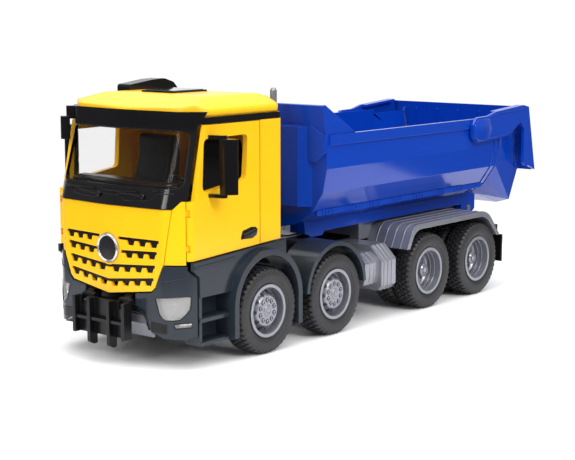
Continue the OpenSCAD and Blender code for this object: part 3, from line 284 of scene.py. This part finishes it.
class Form:
    """Points, and the faces between them."""

    def __init__(self):
        self.points, self.faces = [], []

    def add(self, points, faces):
        first = len(self.points)
        self.points += [Vector(point) for point in points]
        self.faces += [tuple(first + i for i in face) for face in faces]

    def loft(self, rings, round_trip=False):
        """Closed skin over rings of equally many points. A round trip joins the last ring to the first."""
        n, count = len(rings[0]), len(rings)
        steps = count if round_trip else count - 1
        faces = [(k * n + i, k * n + (i + 1) % n, (k + 1) % count * n + (i + 1) % n, (k + 1) % count * n + i)
                 for k in range(steps) for i in range(n)]
        if not round_trip:
            faces.append(tuple(range(n))[::-1])
            faces.append(tuple((count - 1) * n + i for i in range(n)))
        self.add([point for ring in rings for point in ring], faces)

    def turned(self, centre, axis, rows, sides):
        """A turned shape about axis from rows of (radius, distance along it)."""
        spin = Vector(axis).to_track_quat("Z", "X").to_matrix()
        angles = [math.tau * i / sides for i in range(sides)]
        self.loft([[Vector(centre) + spin @ Vector((r * math.cos(a), r * math.sin(a), h)) for a in angles]
                   for r, h in rows])

    def bar(self, path, facings, width, height, chamfer=0.25):
        """A bar that lies along a path on a surface: width across it, height away from it."""
        rings = []
        for i, (point, facing) in enumerate(zip(path, facings)):
            before, after = path[max(i - 1, 0)], path[min(i + 1, len(path) - 1)]
            run = (Vector(after) - Vector(before)).normalized()
            up = Vector(facing).normalized()
            side = run.cross(up).normalized() * width / 2
            cut = side.normalized() * chamfer
            low, top = Vector(point) - up * BAR_SINK, Vector(point) + up * height
            rings.append([low - side, top - side - up * chamfer, top - side + cut, top + side - cut,
                          top + side - up * chamfer, low + side])
        self.loft(rings)

    def mirrored(self):
        """The same form on the other side of the truck."""
        other = Form()
        other.add([(p[0], -p[1], p[2]) for p in self.points], [face[::-1] for face in self.faces])
        return other


def piece(name, body, finish, form, smooth=35):
    """A mesh object that rides on a CAD body. Edges sharper than smooth degrees stay sharp."""
    shape = bmesh.new()
    corners = [shape.verts.new(metres(point)) for point in form.points]
    for face in form.faces:
        shape.faces.new([corners[i] for i in face])
    bmesh.ops.recalc_face_normals(shape, faces=shape.faces)
    mesh = bpy.data.meshes.new(name)
    shape.to_mesh(mesh)
    shape.free()
    mesh.materials.append(finish)
    mesh.shade_smooth()
    mesh.set_sharp_from_angle(angle=math.radians(smooth))
    made = bpy.data.objects.new(name, mesh)
    bpy.context.scene.collection.objects.link(made)
    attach(made, body)
    return made


def pair(name, body, finish, form):
    """A left-hand form and its mirror image, as two pieces on one body or on a body for each side."""
    for (side, _), half in zip(SIDES, (form, form.mirrored())):
        piece(f"{name}_{side}", body.format(side=side), finish, half)


# Wheels

LUGS = 44
LUG_DEPTH = 1.1
GROOVE_R = 32.2
GROOVE_SWAY = 0.45
# How far along a lug, and whether a cut crosses the shoulders and the middle, or the ribs between them
LUG_STEPS = ((0.0, 0, 0), (0.10, 0, 0), (0.16, 0, 1), (0.42, 0, 1),
             (0.50, 0, 0), (0.60, 0, 0), (0.66, 1, 0), (0.92, 1, 0))
TYRE_SMOOTH = 30
# Each tyre's middle and width
SINGLE_TYRE, TWIN_TYRES = ((68.0, 22.0),), ((69.0, 20.0), (47.0, 20.0))
# Count, radius of their ring, and scale
FRONT_NUTS, REAR_NUTS = (10, 8.6, 1.0), (8, 3.3, 0.55)
# Black ring round each nut's foot and black dot on its top are painted shade, not parts of the rim
NUT_SHADE_RING = ((2.0, -0.3), (2.0, 0.12), (1.7, 0.16))
NUT = ((1.6, -0.3), (1.6, 0.8), (1.25, 1.1))
NUT_SHADE_DOT = ((0.75, 0.9), (0.75, 1.14), (0.6, 1.18))
HUB_CAP = ((2.6, -0.4), (2.6, 0.2), (2.2, 0.45), (1.6, 0.2), (0.4, 0.25))


def tyre_half(width, shoulder_cut, rib_cut, sway):
    """Half of a tyre's outline as (radius, distance from its middle), from the bead to the middle rib."""
    h, a, b = width / 2, LUG_DEPTH * shoulder_cut, LUG_DEPTH * rib_cut
    wall = [(20.6, h - 2.6), (21.6, h - 2.0), (23.3, h - 1.1), (24.4, h - 0.75), (24.7, h - 0.3),
            (25.6, h - 0.2), (27.4, h - 0.05), (29.6, h - 0.25), (31.2, h - 0.45 - 0.35 * a)]
    shoulder = [(32.3, h - 0.8 - 0.7 * a), (33.1 - 0.7 * a, h - 1.7), (33.55 - a, h - 2.4),
                (33.75 - a, 0.665 * h), (33.8 - a, 0.61 * h + sway)]
    ribs = [(GROOVE_R, 0.59 * h + sway), (GROOVE_R, 0.49 * h + sway), (33.92 - b, 0.47 * h + sway),
            (34.0 - b, 0.22 * h + sway), (GROOVE_R, 0.20 * h + sway), (GROOVE_R, 0.11 * h + sway),
            (34.0 - a, 0.09 * h + sway)]
    return wall + shoulder + ribs


def tyre_form(form, x, y, width):
    """One tyre with rows of staggered blocks and wavy grooves round its tread."""
    rings = []
    for lug in range(LUGS):
        for part, shoulder_cut, rib_cut in LUG_STEPS:
            angle = math.tau * (lug + part) / LUGS - math.pi / 2
            sway = GROOVE_SWAY * math.cos(math.tau * part)
            left = tyre_half(width, shoulder_cut, rib_cut, sway)
            right = tyre_half(width, shoulder_cut, rib_cut, -sway)
            outline = left + [(r, -d) for r, d in reversed(right)]
            rings.append([(x + r * math.cos(angle), y + d, AXLE_Z + r * math.sin(angle)) for r, d in outline])
    form.loft(rings, round_trip=True)


def wheel_pieces():
    for number, x in enumerate(AXLE_X, 1):
        front = number <= 2
        for side, sign in SIDES:
            body, rim = f"wheel_{number}_{side}", f"rim_{number}_{side}"
            inward, outward = (0, -sign, 0), (0, sign, 0)
            # sockets collects the black rings and dots at the nuts, which are painted shade
            tyres, nuts, sockets = Form(), Form(), Form()
            for y, width in SINGLE_TYRE if front else TWIN_TYRES:
                tyre_form(tyres, x, sign * y, width)
            made = piece(f"treaded_tyre_{number}_{side}", body, charcoal_tyre, tyres, TYRE_SMOOTH)
            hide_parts(f"tyre_{number}_{side}")
            count, ring_r, scale = FRONT_NUTS if front else REAR_NUTS
            for i in range(count):
                angle = math.tau * (i + 0.5) / count
                start = (x + ring_r * math.cos(angle), sign * BESIDE, AXLE_Z + ring_r * math.sin(angle))
                seat = touch(rim, start, inward)[0]
                for form, rows in ((sockets, NUT_SHADE_RING), (nuts, NUT), (sockets, NUT_SHADE_DOT)):
                    form.turned(seat, outward, [(r * scale, h * scale) for r, h in rows], 20)
            if front:
                centre = touch(rim, (x, sign * BESIDE, AXLE_Z), inward)[0]
                nuts.turned(centre, outward, HUB_CAP, 24)
            piece(f"wheel_nuts_{number}_{side}", body, silver_satin, nuts)
            # Painted shade round and on the nuts, in black
            piece(f"nut_painted_shade_{number}_{side}", body, black_satin, sockets)


# Lamps, bumper and mirrors

# Outlines of the lenses as (y, z)
LAMP_EDGE = ((46.8, 54.2), (69.5, 56.1), (69.1, 47.4), (67.6, 44.0), (64.0, 39.6), (60.0, 38.5), (55.2, 38.4),
             (52.4, 40.4), (50.0, 43.2), (48.2, 49.0))
SMALL_LAMP_EDGE = ((61.3, 32.3), (69.7, 33.2), (69.7, 36.7), (60.5, 35.8))
BEHIND_LAMPS = 20.0
TRAY_SHARE, RIM_SHARE = 0.97, 1.04
# Each tray as (scale, depth behind the lens)
TRAY = ((1.0, 0.15), (0.99, 0.6), (0.93, 1.6), (0.86, 4.5), (0.80, 6.0), (0.78, 7.0))
SMALL_TRAY = ((1.0, 0.15), (0.97, 0.5), (0.80, 2.5), (0.74, 3.2))
# Each bowl's y, z, radius and how far it looks outward
BOWLS = ((53.6, 48.2, 5.2, 0.15), (63.2, 48.6, 4.9, 0.50))
BOWL_DEPTH = 6.2
BULB = ((1.2, 0.4), (1.2, 2.0), (0.9, 2.7), (0.3, 3.0))
TAIL_LAMP_X, TAIL_LAMP_Z = -353.5, (53.8, 56.5, 59.2)
TAIL_RIBS_Y = (51.5, 55.0, 58.5, 62.0, 65.5)
# Heights on the bumper that miss the lamps and the grille
CLEAR_BUMPER_Z = (33.0, 37.9, 59.0, 72.0)
ROD_ROUTE = ((14.0, 42.6), (24.0, 42.6), (31.0, 42.2), (35.0, 40.4), (37.6, 37.2), (39.2, 33.0), (39.8, 29.6))
MIRROR_GLASSES = (((79.7, 146.6), (90.8, 171.0)), ((79.7, 132.8), (90.8, 145.2)))
CORNER_STEPS = 5


def lamp_back(y, z):
    """A place on the rear of a lens."""
    return touch("headlamps", (BEHIND_LAMPS, y, z), FORWARD)[0]


def lamp_tray(form, edge, rows):
    """Foil tray behind a lens."""
    outline = [lamp_back(y, z) for y, z in scaled(edge, TRAY_SHARE)]
    centre = sum(outline, Vector()) / len(outline)
    form.loft([[centre + (p - centre) * scale - Vector((depth, 0, 0)) for p in outline] for scale, depth in rows])


def lamps():
    trays, bowls, bulbs = Form(), Form(), Form()
    lamp_tray(trays, LAMP_EDGE, TRAY)
    lamp_tray(trays, SMALL_LAMP_EDGE, SMALL_TRAY)
    for y, z, r, aim in BOWLS:
        axis = Vector((1.0, aim, 0.0)).normalized()
        spot = lamp_back(y, z) - axis * BOWL_DEPTH
        bowls.turned(spot, axis, [(r * 0.25, 0.1), (r * 0.62, 0.9), (r * 0.88, 2.4), (r, 4.3), (r + 0.5, 4.5),
                                  (r + 0.5, 3.9), (r * 0.9, 1.2), (r * 0.5, -0.6)], 28)
        bulbs.turned(spot, axis, BULB, 16)
    pair("lamp_tray", "chassis", chrome_foil, trays)
    pair("lamp_bowls", "chassis", chrome_foil, bowls)
    pair("lamp_bulbs", "chassis", lamp_glass, bulbs)

    ribs = Form()
    for y in TAIL_RIBS_Y:
        ribs.bar([(TAIL_LAMP_X, y, z) for z in TAIL_LAMP_Z], [BACKWARD] * 3, width=1.2, height=0.5)
    pair("tail_lamp_ribs", "chassis", red_lens, ribs)


def bumper_skin(y):
    """A place on the bumper's upright skin, and the way it faces."""
    hits = [touch("front_bumper", (AHEAD, y, z), BACKWARD) for z in CLEAR_BUMPER_Z]
    return max((hit for hit in hits if hit[0]), key=lambda hit: hit[0][0])


def on_bumper(form, route, width, height):
    """Bar along (y, z) places on the bumper."""
    hits = [bumper_skin(y) for y, _ in route]
    form.bar([(spot[0], y, z) for (spot, _), (y, z) in zip(hits, route)], [way for _, way in hits], width, height)


def bumper_details():
    rims = Form()
    for edge in (LAMP_EDGE, SMALL_LAMP_EDGE):
        route = scaled(edge, RIM_SHARE)
        on_bumper(rims, route + route[:2], width=0.9, height=0.35)
    pair("lamp_rims", "chassis", black_gloss, rims)

    # Black slabs below the lamps are painted shade, standing in for the shaded intake recesses
    intake_shade_slab = Form()
    rings = []
    edge, rise = 0.6, 0.3
    for k in range(9):
        y = 42.0 + k * 1.75
        spot, way = bumper_skin(y)
        low, high = 28.0 - k * 0.02, 37.0 - k * 0.12
        skin = [Vector((spot[0], y, z)) for z in (low, low + edge, high - edge, high)]
        rings.append([skin[0] - way * rise, skin[1] + way * rise, skin[2] + way * rise, skin[3] - way * rise])
    intake_shade_slab.loft(rings)
    pair("painted_intake_shade", "chassis", black_satin, intake_shade_slab)

    creases = Form()
    on_bumper(creases, [(52.0 + k * 1.9, 67.0 + k * 0.4) for k in range(11)], width=1.0, height=0.45)
    pair("bumper_creases", "chassis", slate_gloss, creases)


def bracket_rods():
    """Bent rod from behind the finned bracket to the lower corner of the bumper's opening."""
    rods = Form()
    hits = [touch("front_bumper", (AHEAD, y, z), BACKWARD)[0] for y, z in ROD_ROUTE]
    front = max(hit[0] for hit in hits if hit)
    rods.bar([(front, y, z) for y, z in ROD_ROUTE], [FORWARD] * len(ROD_ROUTE), width=1.9, height=1.7, chamfer=0.5)
    pair("bracket_rods", "chassis", black_satin, rods)


def rounded_plate(form, corner_low, corner_high, r, rows, axis):
    """Thin plate with round corners in the plane across axis, from rows of (inset, place along it)."""
    (a0, b0), (a1, b1) = corner_low, corner_high
    centres = ((a1 - r, b1 - r), (a0 + r, b1 - r), (a0 + r, b0 + r), (a1 - r, b0 + r))
    rings = []
    for inset, place in rows:
        ring = []
        for k, (a, b) in enumerate(centres):
            for step in range(CORNER_STEPS + 1):
                angle = math.pi / 2 * (k + step / CORNER_STEPS)
                u, v = a + (r - inset) * math.cos(angle), b + (r - inset) * math.sin(angle)
                ring.append((place, u, v) if axis == "x" else (u, v, place))
        rings.append(ring)
    form.loft(rings)


def mirrors():
    glass = Form()
    back = touch("mirror_left", (0.0, 85.0, 150.0), FORWARD)[0][0]
    rows = ((0, back + 0.1), (0, back - 0.3), (0.3, back - 0.5))
    for low, high in MIRROR_GLASSES:
        rounded_plate(glass, low, high, 1.6, rows, "x")
    pair("mirror_glass", "{side}_door", mirror_foil, glass)


# Cab

# Places on the windscreen's frame as (y, z)
SCUTTLE_LINE = ((59.0, 132.6), (47.0, 132.2), (41.0, 127.0), (17.0, 125.6), (11.0, 129.6), (-8.0, 129.4),
                (-14.0, 125.6), (-40.0, 127.0), (-46.0, 132.2), (-59.0, 132.6))
SCUTTLE_SLOT_Z, SCUTTLE_SLOT_HALF = 134.2, 2.6
WIPERS = (((34.0, 129.4), (-6.0, 131.6)), ((-10.0, 128.4), (-50.0, 131.4)))     # pivot and tip
WIPER_BOSS = ((2.0, -0.3), (2.0, 1.4), (1.5, 2.0), (0.4, 2.2))
BLADE = 34
SCREEN_STEP = 4
# The dashboard's top, from the windscreen back
SHELF_Z, SCREEN_GAP = 137.6, 1.0
STUD = ((0.8, -0.1), (0.75, 0.6), (0.35, 0.9))
STUD_Z, STUD_PITCH = 138.1, 3.2
STUD_ROWS = ((4.2, 0.0), (7.4, 1.6))        # distance from the windscreen, and shift along the row
HATCH_LOW, HATCH_HIGH = (4.2, -16.4), (38.8, 16.4)
# The handle's plate and its grip as (x, z)
PLATE_EDGE = ((25.4, 92.8), (24.8, 95.4), (21.6, 98.6), (8.6, 101.0), (5.6, 98.8), (6.8, 94.2), (12.0, 92.4))
PLATE_CENTRE = (15.5, 96.7)
GRIP = ((22.6, 95.0), (16.0, 96.5), (9.0, 97.8))
STEP_Z, TREAD_Y = (20.0, 38.0), (60.0, 66.0, 72.4)


def screen(y, z):
    """A place on the outside of the windscreen's frame, and the way it faces."""
    return touch("windscreen_frame", (AHEAD, y, z), BACKWARD)


def screen_inside(y):
    """How far forward the dashboard's top reaches."""
    return touch("windscreen", (40.0, y, SHELF_Z), FORWARD)[0][0] - SCREEN_GAP


def on_screen(form, route, width, height, lift=0.0):
    """Bar along (y, z) places on the windscreen's frame."""
    places = []
    for (y0, z0), (y1, z1) in zip(route, route[1:]):
        steps = max(1, int(abs(y1 - y0) / SCREEN_STEP))
        places += [(y0 + (y1 - y0) * k / steps, z0 + (z1 - z0) * k / steps) for k in range(steps)]
    places.append(route[-1])
    spots = [screen(y, z) for y, z in places]
    form.bar([spot + facing * lift for spot, facing in spots], [facing for _, facing in spots], width, height)


def scuttle():
    trims = Form()
    on_screen(trims, SCUTTLE_LINE, width=0.9, height=0.5)
    for y in range(-52, 53, 8):
        slot = [(y + end, SCUTTLE_SLOT_Z) for end in (-SCUTTLE_SLOT_HALF, SCUTTLE_SLOT_HALF)]
        on_screen(trims, slot, width=0.8, height=0.35)
    piece("scuttle_ribs", "cab", black_satin, trims)

    wipers = Form()
    for pivot, tip in WIPERS:
        spot, facing = screen(*pivot)
        wipers.turned(spot, facing, WIPER_BOSS, 16)
        middle = ((pivot[0] + tip[0]) / 2 - 4, (pivot[1] + tip[1]) / 2 + 0.3)
        on_screen(wipers, [pivot, middle], width=1.3, height=0.9, lift=1.0)
        on_screen(wipers, [(tip[0] + BLADE, tip[1] + 0.6), tip], width=1.0, height=1.5, lift=0.15)
    piece("wipers", "cab", black_satin, wipers)


def dashboard():
    shelf, studs = Form(), Form()
    rings = []
    for k in range(-8, 9):
        y = k * 7.0
        front = screen_inside(y)
        foot = touch("dashboard", (70.0, y, OVERHEAD), DOWN)[0][2] - 0.3
        rings.append([(front, y, foot), (front, y, 136.8), (front - 2.5, y, 138.2), (66.0, y, 138.7),
                      (64.2, y, 137.8), (63.6, y, foot)])
    shelf.loft(rings)
    piece("dashboard_top", "cab", black_satin, shelf)

    for k in range(-17, 18):
        for back, shift in STUD_ROWS:
            y = k * STUD_PITCH + shift
            studs.turned((screen_inside(y) - back, y, STUD_Z), UP, STUD, 10)
    piece("dashboard_studs", "cab", black_gloss, studs)


def roof_hatch():
    pane = Form()
    rounded_plate(pane, HATCH_LOW, HATCH_HIGH, 2.6, ((0, 203.8), (0, 204.35), (0.35, 204.6)), "z")
    piece("hatch_pane", "cab", smoked_pane, pane)


def handle_plates():
    """Plate and grip on each door."""
    plates = Form()
    face = touch("door_left", (5.0, BESIDE, 104.0), RIGHTWARD)[0][1]
    plates.loft([[(x, face + rise, z) for x, z in scaled(PLATE_EDGE, share, PLATE_CENTRE)]
                 for share, rise in ((1.0, -0.2), (1.0, 0.25), (0.95, 0.4))])
    plates.bar([(x, face + 0.4, z) for x, z in GRIP], [LEFTWARD] * len(GRIP), width=2.6, height=1.0, chamfer=0.5)
    pair("handle_plate", "{side}_door", black_satin, plates)


def steps():
    treads = Form()
    for z in STEP_Z:
        for i in range(12):
            x = 44.0 + i * 2.4
            height = touch("cab_steps", (x, TREAD_Y[1], z + 6), DOWN)[0][2]
            treads.bar([(x, y, height) for y in TREAD_Y], [UP] * 3, width=1.1, height=0.8, chamfer=0.3)
    pair("step_treads", "chassis", slate_gloss, treads)


# Bed, tailgate and tanks

# The trough's outside as (y, z), and the way it faces
TROUGH = ((75.0, 156.0), (75.0, 138.0), (71.04, 118.1), (59.77, 101.23), (42.9, 89.96))
TROUGH_FACINGS = ((0, 1, 0), (0, 1, -0.1), (0, 1, -0.4), (0, 1, -1), (0, 0.4, -1))
LIP_EDGE = 3
END_RIBS_X = (-345.6, -337.0)
LIP_X = (-338.0, -82.5)
TICK_GROUPS, TICKS = 7, 4
FIRST_TICK_X, GROUP_PITCH, TICK_PITCH = -90.0, 33.5, 4.3
RAIL_Z = 165.6
# The chute's upper side wall as (x, z), and how its plane leans in toward the rear
CHUTE_WALL = ((-347.5, RAIL_Z - 4.0), (-389.0, RAIL_Z - 3.0), (-396.6, RAIL_Z - 38.0), (-397.4, 109.5),
              (-365.0, RAIL_Z - 17.0))
CHUTE_X, CHUTE_HALF, CHUTE_LEAN = -347.0, 75.0, 9.0 / 50.0
# The tailgate's pivot, its arm's outer face, and the arm's ribs and pad as (x, z) from the pivot
GATE_X, GATE_Z, ARM_Y = -303.0, RAIL_Z - 10.1, 80.2
ARM_RIBS = (((9.8, 3.5), (9.8, -3.8), (4.2, -9.4), (-36.0, -8.0), (-53.0, -6.1)),
            ((9.8, 3.5), (4.0, 9.4), (-16.0, 10.0), (-31.0, 13.4), (-76.0, 15.2)))
ARM_PAD = ((10.4, 4.2), (10.4, -4.4), (4.6, -10.2), (-15.0, -9.4), (-19.0, 0.0), (-15.0, 9.6), (4.4, 10.2))
PAD_CENTRE = (-4.0, 0.0)
# Each tank's strap places and their route as (y, z)
STRAPS = (((-138.0, -144.5), ((73.0, 33.0), (75.0, 40.0), (75.0, 54.0), (66.0, 60.0))),
          ((-155.0, -160.5, -166.0), ((74.0, 26.5), (78.0, 31.0), (78.0, 53.0), (66.0, 65.0))))
TANK_MIDDLE = (58.0, 47.0)


def bed_ribs():
    band = Form()
    for x in END_RIBS_X:
        band.bar([(x, y, z) for y, z in TROUGH], TROUGH_FACINGS, width=1.4, height=0.7)
    pair("bed_end_ribs", "bed", blue_gloss, band)

    lip = Form()
    edge_y, edge_z = TROUGH[LIP_EDGE]
    section = [(edge_y - 0.6, edge_z - 0.2), (edge_y + 1.2, edge_z + 1.0), (edge_y + 1.4, edge_z - 3.6),
               (edge_y + 0.4, edge_z - 4.0), (edge_y - 0.9, edge_z - 1.4)]
    tick_route = [(edge_y + 1.2, edge_z + 0.6), (edge_y + 1.35, edge_z - 1.4), (edge_y + 1.4, edge_z - 3.6)]
    lip.loft([[(x, y, z) for y, z in section] for x in LIP_X])
    for group in range(TICK_GROUPS):
        for tick in range(TICKS):
            x = FIRST_TICK_X - group * GROUP_PITCH - tick * TICK_PITCH
            lip.bar([(x, y, z) for y, z in tick_route], [LEFTWARD] * 3, width=1.1, height=0.7)
    pair("bed_side_lip", "bed", blue_gloss, lip)


def chute_walls():
    """The chute's side walls above its sloping edge, up to the tailgate."""
    walls = Form()
    walls.loft([[(x, CHUTE_HALF - CHUTE_LEAN * (CHUTE_X - x) - inset, z) for x, z in CHUTE_WALL]
                for inset in (0.15, 2.3)])
    pair("chute_wall", "bed", blue_gloss, walls)


def gate_arms():
    arms = Form()
    for route in ARM_RIBS:
        arms.bar([(GATE_X + x, ARM_Y, GATE_Z + z) for x, z in route], [LEFTWARD] * len(route), width=1.4, height=0.6)
    arms.loft([[(GATE_X + x, ARM_Y + rise, GATE_Z + z) for x, z in scaled(ARM_PAD, share, PAD_CENTRE)]
               for share, rise in ((1.0, -0.3), (1.0, 1.0), (0.9, 1.7))])
    pair("gate_arm_ribs", "gate", blue_gloss, arms)


def tank_straps():
    straps = Form()
    for places, outline in STRAPS:
        for x in places:
            route, ways = [], []
            middle = Vector((x, *TANK_MIDDLE))
            for y, z in outline:
                way = (Vector((x, y, z)) - middle).normalized()
                spot, facing = touch("side_tanks", Vector((x, y, z)) + way * 20, -way)
                route.append(spot)
                ways.append(facing + way)
            straps.bar(route, ways, width=1.6, height=0.7)
    pair("tank_straps", "chassis", silver_satin, straps)


# Camera, light and floor, in metres

EYE, TARGET = (0.9968, 0.7869, 0.2680), (0.0301, 0.0, 0.0760)
SENSOR, PHOTO_WIDTH, FOCAL_PIXELS = 36.0, 575.0, 1447.2
FLOOR_SIDES, FLOOR_REACH, FLOOR_X = 96, 0.49, 0.05
BACKDROP_WAY = (-0.78, -0.63, 0.0)
# Strength of the air where the camera sees it, and where it only lights the truck
SEEN_AIR, BACKDROP_AIR, UPPER_AIR, ALL_AIR = 1.02, 0.55, 0.22, 0.12
# Each light's place, aim, size and power
LIGHTS = {
    "soft_box_left": ((0.5, 2.1, 1.6), (0, 0, 0.1), 1.1, 37.0),
    "soft_box_front": ((2.2, 0.2, 1.1), (0.1, 0, 0.1), 0.9, 24.0),
    "soft_ceiling": ((0.0, 0.0, 3.2), (0, 0, 0.0), 5.0, 190.0),
}


def aimed(name, data, place, target):
    """An object at a place that looks at a target."""
    made = bpy.data.objects.new(name, data)
    made.location = place
    made.rotation_euler = (Vector(target) - Vector(place)).to_track_quat("-Z", "Y").to_euler()
    bpy.context.scene.collection.objects.link(made)
    return made


def photo_camera():
    scene = bpy.context.scene
    scene.view_settings.view_transform = "Standard"
    lens = bpy.data.cameras.new("photo_camera")
    lens.sensor_width, lens.lens = SENSOR, FOCAL_PIXELS * SENSOR / PHOTO_WIDTH
    lens.clip_start, lens.clip_end = 0.05, 40.0
    scene.camera = aimed("photo_camera", lens, EYE, TARGET)


def studio_floor():
    """A pale disc, small enough that the walls of the bed don't mirror it."""
    floor_mesh = bpy.data.meshes.new("studio_floor")
    turns = [math.tau * i / FLOOR_SIDES for i in range(FLOOR_SIDES)]
    rim = [(FLOOR_REACH * math.cos(turn) + FLOOR_X, FLOOR_REACH * math.sin(turn), 0.0) for turn in turns]
    floor_mesh.from_pydata(rim, [], [tuple(range(FLOOR_SIDES))])
    floor = bpy.data.objects.new("studio_floor", floor_mesh)
    bpy.context.scene.collection.objects.link(floor)
    floor_mesh.materials.append(moulded("pale_floor", (0.90, 0.90, 0.90), rough=0.8, grain=60.0, depth=0.001 * MM,
                                        edge=0, swing=0.01))


def studio_light():
    """White air behind the truck, brighter toward the backdrop and above, and three soft lights."""
    world = bpy.data.worlds.new("studio_air")
    world.use_nodes = True
    bpy.context.scene.world = world
    air = Nodes(world.node_tree)
    way = air.node("ShaderNodeTexCoord").output("Generated")
    toward_back = air.node("ShaderNodeVectorMath", {"operation": "DOT_PRODUCT"}, {0: way, 1: BACKDROP_WAY})
    backdrop = air.ramp(toward_back.output("Value"), 0.45, 0.95)
    height = air.node("ShaderNodeSeparateXYZ", {}, {0: way}).output("Z")
    above = air.ramp(height, -0.20, 0.15)
    seen = air.node("ShaderNodeLightPath").output("Is Camera Ray")
    lighting = backdrop * BACKDROP_AIR + above * UPPER_AIR + ALL_AIR
    backing = world.node_tree.nodes["Background"]
    air.feed(backing.inputs["Color"], (1, 1, 1, 1))
    air.feed(backing.inputs["Strength"], seen * SEEN_AIR + (1 - seen) * lighting)
    for name, (place, target, size, watts) in LIGHTS.items():
        lamp = bpy.data.lights.new(name, "AREA")
        lamp.size, lamp.energy = size, watts
        aimed(name, lamp, place, target)


photo_camera()
studio_floor()
studio_light()
wheel_pieces()
lamps()
mirrors()
scuttle()
dashboard()
roof_hatch()
handle_plates()
steps()
bumper_details()
bracket_rods()
bed_ribs()
chute_walls()
gate_arms()
tank_straps()
